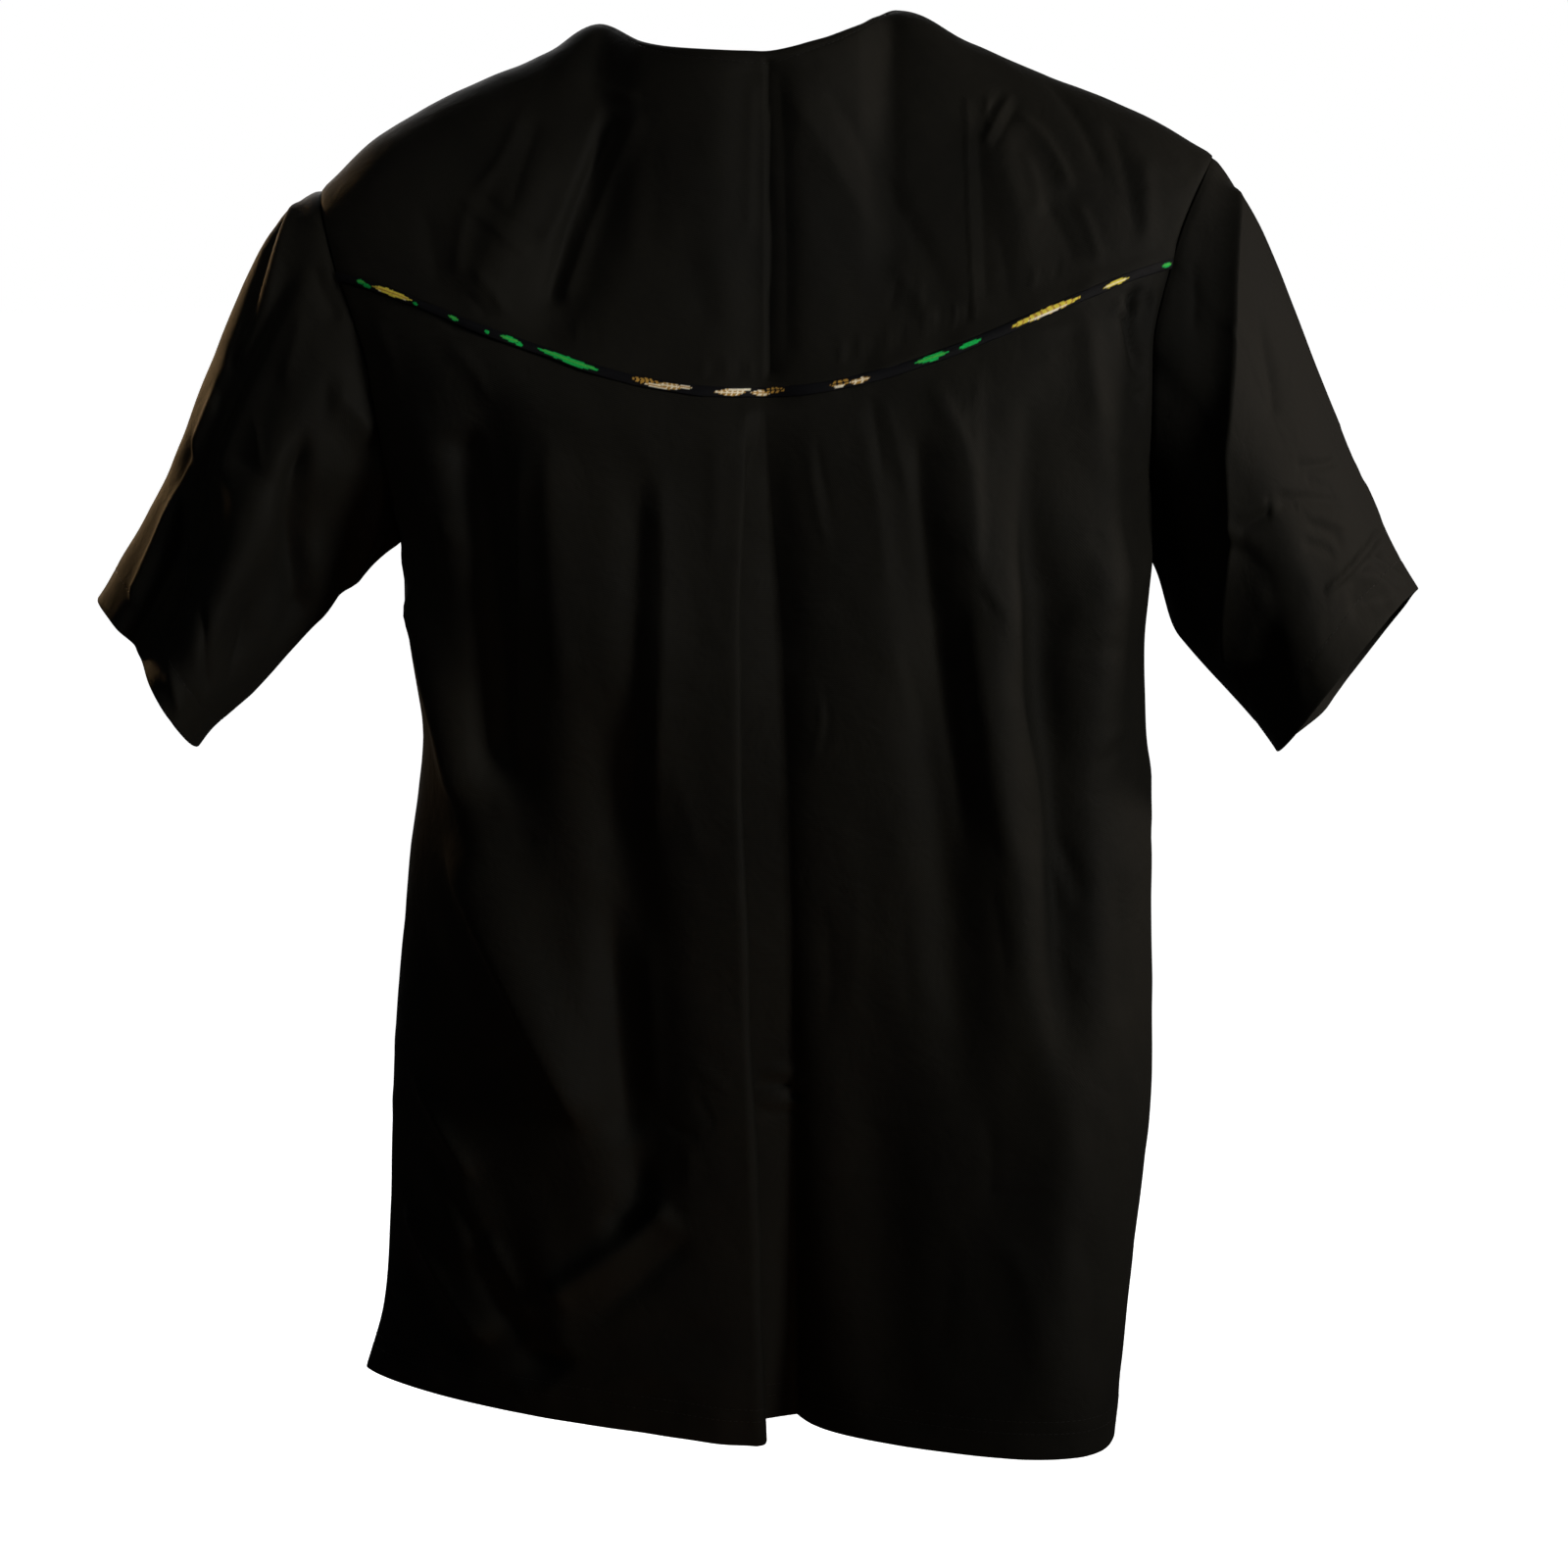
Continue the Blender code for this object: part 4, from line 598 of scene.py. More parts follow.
AMBIENT = 0.026           # light of the white surroundings on the shirt
LAMPS = [
    # name,  place,              aim,                size,       spread, power, colour
    ("key_lamp", (2.04, -1.69, 0.20), (-0.12, 0.0, -0.15), (0.6, 0.9), 42, 2.9, "#fffaf2"),
    ("right_lamp", (2.3, 0.45, 0.5), (0.3, 0.0, -0.25), (0.5, 0.5), 24, 0.65, "#fff0e0"),
    ("warm_lamp", (-1.02, 0.94, 0.20), (-0.33, 0.0, -0.20), (0.2, 0.25), 14, 0.13, "#ffcf90"),
    ("low_warm_lamp", (0.0, -0.50, -1.38), (-0.08, -0.1, -0.66), (0.3, 0.3), 34, 0.05, "#ffb870"),
    ("yoke_lamp", (-1.2, -1.6, 1.1), (-0.14, -0.03, -0.12), (0.3, 0.3), 18, 0.06, "#fff4e8"),
    ("back_fill", (0.3, -3.2, 1.4), (0.0, 0.0, -0.35), (2.0, 1.4), 180, 2.2, "#ffffff"),
    ("front_lamp", (-0.6, 3.0, 1.0), (0.0, 0.0, -0.35), (1.8, 1.6), 180, 55.0, "#ffffff"),
]


def smooth_step(t):
    t = np.clip(t, 0.0, 1.0)
    return t * t * (3.0 - 2.0 * t)


def unit(v):
    return v / np.maximum(np.linalg.norm(v, axis=-1, keepdims=True), 1e-12)


def running(line):
    """Length along a line up to each of its points."""
    return np.concatenate(([0.0], np.cumsum(np.linalg.norm(np.diff(line, axis=0), axis=1))))


def at_lengths(at, far, values):
    """Points or normals of a line at lengths along it, where far is its running length."""
    return np.stack([np.interp(at, far, values[:, c]) for c in range(3)], -1)


def curve_at(table, column, t):
    """Smooth curve through one column of a table, by Hermite pieces along its first."""
    knots = np.array([row[0] for row in table], float)
    values = np.array([row[column] for row in table], float)
    slopes = np.diff(values) / np.diff(knots)
    tangents = np.concatenate(([slopes[0]], 0.5 * (slopes[1:] + slopes[:-1]), [slopes[-1]]))
    flat = np.concatenate(([False], slopes[1:] * slopes[:-1] <= 0.0, [False]))
    tangents[flat] = 0.0
    t = np.clip(np.asarray(t, float), knots[0], knots[-1])
    k = np.clip(np.searchsorted(knots, t, side="right") - 1, 0, len(knots) - 2)
    h = knots[k + 1] - knots[k]
    s = (t - knots[k]) / h
    return ((1 + 2 * s) * (1 - s) ** 2 * values[k] + s * (1 - s) ** 2 * h * tangents[k]
            + s * s * (3 - 2 * s) * values[k + 1] + s * s * (s - 1) * h * tangents[k + 1])


def section_point(table, facing, f, v):
    """Point of a body section: a superellipse arc between its two edges.

    f runs from -1 at the left edge to 1 at the right one and v from the first
    section to the last; facing is -1 for the back and 1 for the front.
    """
    (z_l, z_c, z_r, x_l, y_l, x_r, y_r, d_l, d_c, d_r, turn, n_l, n_r) = (
        curve_at(table, c, v) for c in range(1, 14))
    turn = np.minimum(turn, 90.0)
    phi = np.radians(turn) * f
    power = 2.0 / (n_l + (n_r - n_l) * smooth_step(0.2 + 1.4 * np.asarray(f, float)))
    full = np.radians(turn)
    across = np.sign(phi) * np.abs(np.sin(phi)) ** power / np.sin(full) ** power
    edge = np.maximum(np.cos(full), 0.0) ** power
    rise = (np.maximum(np.cos(phi), 0.0) ** power - edge) / (1.0 - edge)
    share = 0.5 * (across + 1.0)
    x = x_l + (x_r - x_l) * share
    side = np.clip(across * 1.2, -1.0, 1.0)
    out = d_c + np.where(side < 0, (d_l - d_c), (d_r - d_c)) * smooth_step(np.abs(side))
    y = y_l + (y_r - y_l) * share + facing * out * rise
    bow = np.cos(0.5 * np.pi * np.clip(across, -1, 1)) ** SEAM_SWEEP
    z_edge = z_l + (z_r - z_l) * share
    z = z_edge + (z_c - 0.5 * (z_l + z_r)) * bow
    return np.stack([x, y, z], -1)


def fraction_for_x(table, x, v):
    """The f whose section point has the given x, by halving."""
    low = np.full(np.shape(x), -1.0)
    high = np.full(np.shape(x), 1.0)
    for _ in range(40):
        mid = 0.5 * (low + high)
        right = section_point(table, -1, mid, v)[..., 0] > x
        high = np.where(right, mid, high)
        low = np.where(right, low, mid)
    return 0.5 * (low + high)


def near_line(line_a, line_b, a, b):
    """For points (a, b): share along a drawn line and signed distance from it."""
    da, db = np.diff(line_a), np.diff(line_b)
    to_a = a[:, None] - line_a[:-1]
    to_b = b[:, None] - line_b[:-1]
    t = np.clip((to_a * da + to_b * db) / (da * da + db * db), 0.0, 1.0)
    far = np.hypot(to_a - t * da, to_b - t * db)
    k = far.argmin(1)
    row = np.arange(len(a))
    side = np.sign(da[k] * to_b[row, k] - db[k] * to_a[row, k])
    return (k + t[row, k]) / len(da), far[row, k] * side


def fold_height(folds, a, b):
    """Sum of the folds at points (a, b), each a bell or crest across its own line.

    The line is a parabola through three points. The height is out times
    exp(-1.6 (distance / half) ** crest), with half wider on one side by skew,
    and it fades towards the line's ends over the share fade of its length.
    """
    total = np.zeros(np.shape(a))
    t = np.linspace(0.0, 1.0, 25)
    for row in folds:
        a1, b1, a2, b2, a3, b3, half, out = np.array(row[:8]) / TENTHS
        fade, crest, skew = row[8:] + ROUND_FOLD[len(row) - 9:]
        line_a = (1 - t) ** 2 * a1 + 2 * t * (1 - t) * (2 * a2 - 0.5 * (a1 + a3)) + t * t * a3
        line_b = (1 - t) ** 2 * b1 + 2 * t * (1 - t) * (2 * b2 - 0.5 * (b1 + b3)) + t * t * b3
        reach = half * (2.2 if crest > 1.5 else 3.4) * (1.0 + abs(skew))
        near = ((a > line_a.min() - reach) & (a < line_a.max() + reach)
                & (b > line_b.min() - reach) & (b < line_b.max() + reach))
        if not near.any():
            continue
        along, off = near_line(line_a, line_b, a[near], b[near])
        bell = np.exp(-1.6 * (np.abs(off) / (half * (1.0 + skew * np.sign(off)))) ** crest)
        total[near] += (out * bell * smooth_step(along / fade)
                        * smooth_step(1.4 * (1 - along) / fade))
    return total


def soft_noise(a, b, size, seed):
    """Smooth random heights from -1 to 1: random values on a square lattice, eased between."""
    values = np.random.default_rng(seed).uniform(-1.0, 1.0, (97, 97))
    a, b = np.asarray(a) / size + 40.0, np.asarray(b) / size + 40.0
    i, j = np.floor(a).astype(int), np.floor(b).astype(int)
    p, q = smooth_step(a - i), smooth_step(b - j)
    corner = [values[(i + m) % 97, (j + n) % 97] for m in (0, 1) for n in (0, 1)]
    return ((corner[0] * (1 - q) + corner[1] * q) * (1 - p)
            + (corner[2] * (1 - q) + corner[3] * q) * p)


def with_folds(points, folds, facing, f):
    """Moves body points along the section's outward direction by the folds."""
    keep = smooth_step((1.0 - np.abs(f)) / 0.16)
    height = fold_height(folds, points[..., 0], points[..., 2]) * keep
    lean = np.clip(points[..., 0] / 0.21, -1, 1) ** 3
    moved = points.copy()
    moved[..., 0] += height * lean * 0.8
    moved[..., 1] += height * facing * np.sqrt(1 - 0.6 * lean ** 2)
    return moved


def back_point(f, v):
    return with_folds(section_point(BACK_SECTIONS, -1, f, v), BACK_FOLDS, -1, f)


def front_point(f, v):
    return with_folds(section_point(FRONT_SECTIONS, 1, f, v), FRONT_FOLDS, 1, f)


def even_shares(f_start, f_end, count):
    """Shares of the way from f_start to f_end, spaced along the cloth by COLUMN_DENSITY."""
    t = np.linspace(0.0, 1.0, 801)
    line = section_point(BACK_SECTIONS, -1, f_start + (f_end - f_start) * t, np.full(801, 0.6))
    dense = np.interp(0.5 * (line[1:, 0] + line[:-1, 0]), *np.array(COLUMN_DENSITY).T)
    steps = dense * np.linalg.norm(np.diff(line, axis=0), axis=1)
    total = np.concatenate(([0.0], np.cumsum(steps)))
    return np.interp(np.linspace(0.0, total[-1], count), total, t)


def back_shares():
    """Shares of the columns left of the pleat's edge and right of its valley."""
    f_edge, f_valley = (float(fraction_for_x(BACK_SECTIONS, curve_at(PLEAT, c, 0.6), 0.6))
                        for c in (1, 2))
    return (even_shares(-1.0, f_edge, LEFT_COLS + 1)[:-1],
            even_shares(f_valley, 1.0, RIGHT_COLS + 1)[1:])


def pleat_columns(v):
    """Columns of the centre pleat for rows v: folded edge, return, inner fold, strip.

    The course table gives stations; columns between them follow the smooth
    curve through it, and the last six ease from the inner fold to the valley.
    """
    edge_x, valley_x, lap, step, valley, low = (curve_at(PLEAT, c, v) for c in range(1, 7))
    f_edge = fraction_for_x(BACK_SECTIONS, edge_x, v)
    f_valley = fraction_for_x(BACK_SECTIONS, valley_x, v)
    edge = back_point(f_edge, v)
    bottom = back_point(f_valley, v)
    bottom[..., 1] += valley
    opened = smooth_step((v - 0.02) / 0.14)[:, None]
    last = len(PLEAT_COURSE) - 1
    numbered = [(k, *row) for k, row in enumerate(PLEAT_COURSE)]
    points = []
    for k in np.arange(0, last + 1e-9, 1.0 / PLEAT_STEPS):
        laps, bow, depth = (float(curve_at(numbered, c, k)) for c in (1, 2, 3))
        folded = edge.copy()
        folded[..., 0] += laps * lap + bow * step
        folded[..., 1] += depth * step
        folded[..., 2] -= low * (1.0 - 0.25 * depth)
        share = (k + 0.5) / (last + 3.0)
        smooth = back_point(f_edge + (f_valley - f_edge) * share, v)
        smooth[..., 1] += valley * smooth_step(share)
        points.append(smooth + (folded - smooth) * opened)
    start = points[-1]
    for share in np.linspace(0.0, 1.0, 9)[1:]:
        eased = start + (bottom - start) * share
        eased[..., 1] = start[..., 1] + (bottom[..., 1] - start[..., 1]) * share ** 0.85
        points.append(eased)
    return f_edge, f_valley, valley, low, points


def evened(grid, along, reach, share):
    """The grid with its depth averaged over a reach of its length, except near its ends."""
    near = np.exp(-((along[:, None] - along) / reach) ** 2) * np.gradient(along)
    even = near / near.sum(1, keepdims=True) @ grid[..., 1]
    ends = smooth_step(np.minimum(along, along[-1] - along) / 0.12)[:, None]
    grid[..., 1] += (even - grid[..., 1]) * share * ends
    return grid


def back_grid():
    """Rows and columns of the back, from the left edge through the pleat to the right."""
    places, dense = np.array(ROW_DENSITY).T
    t = np.linspace(0.0, 1.0, 801)
    total = np.cumsum(np.interp(t, places, dense))
    v = np.interp(np.linspace(total[0], total[-1], BACK_ROWS), total, t)
    left, right = back_shares()
    f_edge, f_valley, valley, low, pleat = pleat_columns(v)
    columns = []
    for share in left:
        column = back_point(-1.0 + (f_edge + 1.0) * share, v)
        column[..., 2] -= low * share ** 4
        columns.append(column)
    columns += pleat
    for share in right:
        column = back_point(f_valley + (1.0 - f_valley) * share, v)
        away = column[..., 0] - pleat[-1][..., 0]
        column[..., 1] += valley * (0.62 * np.exp(-away / VALLEY_REACH)
                                    + 0.38 * np.exp(-away / 0.008))
        columns.append(column)
    # The depth is evened out along the middle columns, over a share 0.06 of the length.
    side = np.concatenate([smooth_step((left - 0.15) / 0.4), np.ones(len(pleat)),
                           smooth_step((0.85 - right) / 0.4)])
    return evened(np.stack(columns, 1), v, 0.06, side)


def from_top(line, below, stations, facing, w, reach):
    """Cubic curves from the shoulder and neck line down to a line of the body's sections.

    They leave the top edge with its own lean and arrive in the sections' direction;
    stations are the line's x under the two armholes and the two neck points.
    """
    x_top = np.interp(line[:, 0], stations, [TOP_LINE[0][0], *NECK_COLUMNS, TOP_LINE[-1][0]])
    depth, height = (1, 2) if facing < 0 else (3, 4)
    top = np.stack([x_top, *(curve_at(TOP_LINE, c, x_top) for c in (depth, height))], -1)
    lean = curve_at(TOP_LINE, 5, x_top) * (1.0 if facing < 0 else 0.6)
    lead = lean[:, None] * np.array([0.0, facing, -0.10 * facing])
    span = np.linalg.norm(line - top, axis=-1, keepdims=True)
    return ((1 - w) ** 3 * top + 3 * w * (1 - w) ** 2 * (top + lead)
            + 3 * w * w * (1 - w) * (line + unit(line - below) * span * reach) + w ** 3 * line)


def yoke_grid():
    """Yoke: from the shoulder and neck line down to the yoke seam."""
    t = np.linspace(-1.0, 1.0, 801)
    across = section_point(BACK_SECTIONS, -1, t, np.zeros(801))[:, 0]
    total = np.cumsum(np.interp(across, *np.array(COLUMN_DENSITY).T) * np.gradient(across))
    f = np.interp(np.linspace(total[0], total[-1], YOKE_COLS), total, t)
    seam, below = (section_point(BACK_SECTIONS, -1, f, np.full(len(f), v)) for v in (0.0, 0.05))
    x = seam[:, 0]
    stations = [x[0], *(x[np.abs(x - neck).argmin()] for neck in NECK_COLUMNS), x[-1]]
    w = np.linspace(0.0, 1.0, YOKE_ROWS)[:, None, None]
    return with_folds(from_top(seam, below, stations, -1, w, 0.36), BACK_FOLDS, -1, f)


def front_grid():
    """Front: from the shoulder and neck line to the chest, then down the sections."""
    left, middle, right = (float(fraction_for_x(FRONT_SECTIONS, np.array(x), 0.0))
                           for x in (NECK_COLUMNS[0], 0.0, NECK_COLUMNS[1]))
    outer, inner = FRONT_COLS * 3 // 10, FRONT_COLS // 5
    f = np.concatenate([np.linspace(-1, left, outer), np.linspace(left, middle, inner)[1:],
                        np.linspace(middle, right, inner)[1:], np.linspace(right, 1, outer)[1:]])
    chest, below = (section_point(FRONT_SECTIONS, 1, f, np.full(len(f), v)) for v in (0.0, 0.04))
    stations = [chest[0, 0], *NECK_COLUMNS, chest[-1, 0]]
    w = (np.arange(FRONT_UPPER) / FRONT_UPPER)[:, None, None]
    upper = with_folds(from_top(chest, below, stations, 1, w, 0.34), FRONT_FOLDS, 1, f)
    grid_f, grid_v = np.meshgrid(f, np.linspace(0.0, 1.0, FRONT_LOWER) ** 1.05)
    grid = np.concatenate([upper, front_point(grid_f, grid_v)])
    # The depth is evened out over about 50 mm of length, away from the panel's edges.
    return evened(grid, running(grid[:, len(f) // 2]), 0.05, smooth_step((1.0 - np.abs(f)) / 0.5))


def along_rows(grid, end):
    """Distance of each point from one end of its column, along the column."""
    steps = np.linalg.norm(np.diff(grid, axis=0), axis=-1)
    if end == "last":
        return np.concatenate([np.cumsum(steps[::-1], 0)[::-1], np.zeros((1, grid.shape[1]))])
    return np.concatenate([np.zeros((1, grid.shape[1])), np.cumsum(steps, 0)])


def along_columns(grid, end):
    """Distance of each point from one end of its row, along the row."""
    return along_rows(grid.swapaxes(0, 1), end).T


def on_side_line(grid, line, shift):
    """Brings a panel's edges below the underarm to the side line, easing over 40 mm."""
    moved = grid.copy()
    for column, end in ((0, "first"), (-1, "last")):
        edge = grid[:, column]
        rows = line[::-1, column]
        goal = edge.copy()
        for c in (0, 1):
            goal[:, c] = np.interp(edge[:, 2], rows[:, 2], rows[:, c])
        goal[:, 1] += shift
        below = smooth_step((UNDERARM_Z[column] + 0.010 - edge[:, 2]) / 0.010)
        near = 1.0 - smooth_step(along_columns(grid, end) / 0.040)
        moved += ((goal - edge) * below[:, None])[:, None] * near[..., None]
    return moved


def armhole_loop(column, yoke, back, front):
    """Even closed loop of one armhole with its angles: top, back, underarm, front.

    It runs along the body pieces' own edges; an angle is the share of the
    length from the top to the underarm, or back up, as half a turn each.
    """
    low = UNDERARM_Z[column] + 0.004
    down = np.concatenate([yoke[:, column], back[1:, column]])
    down = down[down[:, 2] > low]
    up = front[:, column]
    up = up[up[:, 2] > low][::-1]
    under = np.array([0.5 * (down[-1, 0] + up[0, 0]), -0.002, UNDERARM_Z[column]])
    first, second = (running(path) for path in (np.vstack([down, under]), np.vstack([under, up])))
    angle = np.pi * np.concatenate([first / first[-1], 1.0 + second[1:] / second[-1]])
    even = np.arange(SLEEVE_AROUND) * 2 * np.pi / SLEEVE_AROUND
    return at_lengths(even, angle, np.vstack([down, under, up])), even


def sleeve_grid(side, loop, angle):
    """Sleeve rings from the armhole loop to the cuff, by cubic curves, with its folds."""
    centre, outer, back = (np.array(c) for c in CUFFS[side])
    square = [(np.sign(c) * np.abs(c) ** (2.0 / CUFF_SQUARE))[:, None]
              for c in (np.cos(angle), np.sin(angle))]
    cuff = centre + outer * square[0] + back * square[1]
    leads = np.array(SLEEVE_LEADS[side] + SLEEVE_LEADS[side][:1])
    quarter = angle / (0.5 * np.pi)
    low = np.minimum(np.floor(quarter).astype(int), 3)
    part = smooth_step(quarter - low)[:, None]
    mixed = leads[low] * (1 - part) + leads[low + 1] * part
    lead = unit(mixed[:, :3] * (-1.0 if side == "left" else 1.0, 1.0, 1.0))
    start = loop + lead * np.minimum(mixed[:, 4:], 0.0006)
    axis = unit(centre - loop.mean(0))
    s = (np.linspace(0.0, 1.0, SLEEVE_RINGS) ** 1.05)[:, None, None]
    span = np.linalg.norm(cuff - start, axis=1, keepdims=True)
    rings = ((1 - s) ** 3 * start + 3 * s * (1 - s) ** 2 * (start + lead * mixed[:, 3:4])
             + 3 * s * s * (1 - s) * (cuff - axis * 0.30 * span) + s ** 3 * cuff)
    out = rings - rings.mean(1, keepdims=True)
    out -= axis * (out @ axis)[..., None]
    height = np.zeros(rings.shape[:2])
    for a_start, a_end, s_start, s_end, half, size in SLEEVE_FOLDS[side]:
        t = (s[..., 0] - s_start) / (s_end - s_start)
        fade = smooth_step(t / 0.3) * (1.0 if s_end >= 1.0 else smooth_step((1 - t) / 0.3))
        at = np.radians(a_start + (a_end - a_start) * np.clip(t, 0.0, 1.0))
        away = np.abs((angle - at + np.pi) % (2 * np.pi) - np.pi)
        height += size * fade * np.exp(-1.3 * (away / math.radians(half)) ** 2)
    return rings + unit(out) * height[..., None]


def grid_normals(grid, closed, outward):
    """Unit normals: cross product of the running differences across and down the grid."""
    down = np.gradient(grid, axis=0)
    if closed:
        across = np.roll(grid, -1, 1) - np.roll(grid, 1, 1)
    else:
        across = np.gradient(grid, axis=1)
    return unit(np.cross(across, down)) * outward


def turned_under(grid, normals, axis, end, depth):
    """Continues a grid round one edge and back under itself, as a hem is folded.

    The edge rolls on a half circle one FOLD_GAP across; past it the layer
    repeats the grid's own lines, moved in along the normals by FOLD_GAP.
    """
    g, n = np.moveaxis(grid, axis, 0), np.moveaxis(normals, axis, 0)
    if end == "first":
        g, n = g[::-1], n[::-1]
    step = np.linalg.norm(g[-1] - g[-2], axis=-1).mean()
    count = max(2, int(round(depth / step)))
    radius = 0.5 * FOLD_GAP
    along = unit(g[-1] - g[-2])
    base = g[-1] - along * radius
    turn = np.radians([0.0, 45.0, 90.0, 135.0, 180.0])[:, None, None]
    roll = base + along * radius * np.sin(turn) - n[-1] * radius * (1 - np.cos(turn))
    under = (g[:-1] - n[:-1] * FOLD_GAP)[::-1][:count]
    new_g = np.concatenate([g[:-1], roll, under])
    new_n = np.concatenate([n[:-1], np.repeat(n[-1:], 5, 0), n[:-1][::-1][:count]])
    if end == "first":
        new_g, new_n = new_g[::-1], new_n[::-1]
    return np.moveaxis(new_g, 0, axis), np.moveaxis(new_n, 0, axis)


def new_object(name, verts, faces, materials):
    mesh = bpy.data.meshes.new(name)
    mesh.from_pydata(verts.reshape(-1, 3).tolist(), [], faces.tolist())
    mesh.update()
    mesh.polygons.foreach_set("use_smooth", np.ones(len(faces), bool))
    for material in materials:
        mesh.materials.append(material)
    ob = bpy.data.objects.new(name, mesh)
    bpy.context.scene.collection.objects.link(ob)
    return ob


def cloth_shell(name, grid, closed, outward, material, thick=CLOTH):
    """A sheet of cloth: the grid moved half its thickness to each side, with closed rims.

    UVs are lengths along the cloth in metres, across from the middle column
    and down from the first row, so a weave keeps its real size.
    """
    rows, cols = grid.shape[:2]
    side = grid_normals(grid, closed, outward) * 0.5 * thick
    last = cols if closed else cols - 1
    r, c = np.meshgrid(np.arange(rows - 1), np.arange(last), indexing="ij")
    corners = np.stack([(r, c), (r, c + 1), (r + 1, c + 1), (r + 1, c)]).reshape(4, 2, -1)
    at = corners[:, 0] * cols + corners[:, 1] % cols
    at_uv = corners[:, 0] * (cols + 1) + corners[:, 1]
    layer = rows * cols
    quads, uv_quads = [at.T, at[::-1].T + layer], [at_uv.T, at_uv[::-1].T]
    k, m = np.arange(last), np.arange(rows - 1)
    rims = [(0, k + 1, 0, k), (rows - 1, k, rows - 1, k + 1)]
    if not closed:
        rims += [(m, 0, m + 1, 0), (m + 1, cols - 1, m, cols - 1)]
    for r1, c1, r2, c2 in rims:
        one, two = r1 * cols + c1 % cols, r2 * cols + c2 % cols
        quads.append(np.stack([one, two, two + layer, one + layer], 1))
        one, two = r1 * (cols + 1) + c1, r2 * (cols + 1) + c2
        uv_quads.append(np.stack([one, two, two, one], 1))
    faces, uv_faces = np.concatenate(quads), np.concatenate(uv_quads)
    if outward < 0:
        faces, uv_faces = faces[:, ::-1], uv_faces[:, ::-1]
    ob = new_object(name, np.concatenate([grid + side, grid - side]), faces, [material])
    wide = np.concatenate([grid, grid[:, :1] if closed else grid[:, -1:]], 1)
    u = along_columns(wide, "first")
    u -= u[:, cols // 2:cols // 2 + 1]
    uv = np.stack([u, -along_rows(wide, "first")], -1).reshape(-1, 2)
    ob.data.uv_layers.new(name="cloth").data.foreach_set("uv", uv[uv_faces].ravel())
    return ob


def line_at(grid, normals, end, distance):
    """Line across a grid at one distance from its first or last row, with normals."""
    g, n = (grid[::-1], normals[::-1]) if end == "last" else (grid, normals)
    far = along_rows(g, "first")
    k = np.clip((far < distance).sum(0) - 1, 0, len(g) - 2)
    column = np.arange(g.shape[1])
    t = ((distance - far[k, column]) / (far[k + 1, column] - far[k, column]))[:, None]
    return (g[k, column] * (1 - t) + g[k + 1, column] * t,
            unit(n[k, column] * (1 - t) + n[k + 1, column] * t))


def stitches(name, rows, material):
    """Rows of sewn thread: small bowed capsules set end to end along each line.

    A capsule is five rings of six points, its ring size and its height over the
    cloth falling from the middle to both ends, where the thread dives in.
    """
    places, forward, up = [], [], []
    for line, normals, closed in rows:
        if closed:
            line, normals = np.vstack([line, line[:1]]), np.vstack([normals, normals[:1]])
        far = running(line)
        count = int(far[-1] / STITCH_PITCH)
        at = (np.arange(count) + 0.5) * far[-1] / count
        places.append(at_lengths(at, far, line))
        up.append(unit(at_lengths(at, far, normals)))
        forward.append(unit(at_lengths(at + 0.001, far, line) - at_lengths(at - 0.001, far, line)))
    place, along, above = (np.concatenate(a)[:, None, None] for a in (places, forward, up))
    beside = np.cross(above, along)
    ring = np.array([-1.0, -0.72, 0.0, 0.72, 1.0])[:, None, None]
    size = np.array([0.35, 0.85, 1.0, 0.85, 0.35])[:, None, None] * 0.5 * STITCH_WIDE
    angle = (np.arange(6) * np.pi / 3)[None, :, None]
    bow = 0.5 * CLOTH + 0.00022 * (1.0 - ring ** 2) - 0.00012
    verts = (place + along * ring * 0.5 * STITCH_LONG + beside * size * np.cos(angle)
             + above * (bow + size * np.sin(angle)))
    r, c = (a.ravel() for a in np.meshgrid(np.arange(4), np.arange(6), indexing="ij"))
    d = (c + 1) % 6
    around = np.stack([(r + 1) * 6 + c, (r + 1) * 6 + d, r * 6 + d, r * 6 + c], 1)
    caps = np.array([[3, 4, 5, 0], [1, 2, 3, 0], [27, 26, 25, 24], [29, 28, 27, 24]])
    faces = np.arange(len(verts))[:, None, None] * 30 + np.concatenate([around, caps])
    return new_object(name, verts.reshape(-1, 3), faces.reshape(-1, 4), [material])


def piping_grid(line, normals, down):
    """Folded strip under the yoke's edge: a narrow U carried along the yoke seam.

    Its back layer runs down on the back panel, turns on a small half circle and
    comes up again as the printed face, a little crowned between seam and fold.
    """
    far = running(line)
    at = np.linspace(0.0008, far[-1] - 0.0008, 900)
    line, normals, down = (at_lengths(at, far, a) for a in (line, normals, down))
    radius, low = 0.00042, 0.00078
    straight = PIPING_SHOWS - radius
    run = np.linspace(-0.0004, straight, 9)
    turn = np.radians(np.linspace(-75, 75, 6))
    d = np.concatenate([run, straight + radius * np.cos(turn), run[::-1]])
    crown = 0.00030 * np.sin(np.pi * np.clip(run / straight, 0, 1))
    h = np.concatenate([np.full(9, low), low + radius * (1 + np.sin(turn)),
                        low + 2 * radius + crown[::-1]])
    wave = 1.0 + 0.05 * soft_noise(at, at * 0, 0.011, 5)
    lift = 0.00014 * soft_noise(at, at * 0, 0.008, 6)
    grid = (line + down * (d[:, None, None] * wave[:, None])
            + normals * (h[:, None, None] + lift[:, None] * (d / straight)[:, None, None]))
    return grid, d / straight


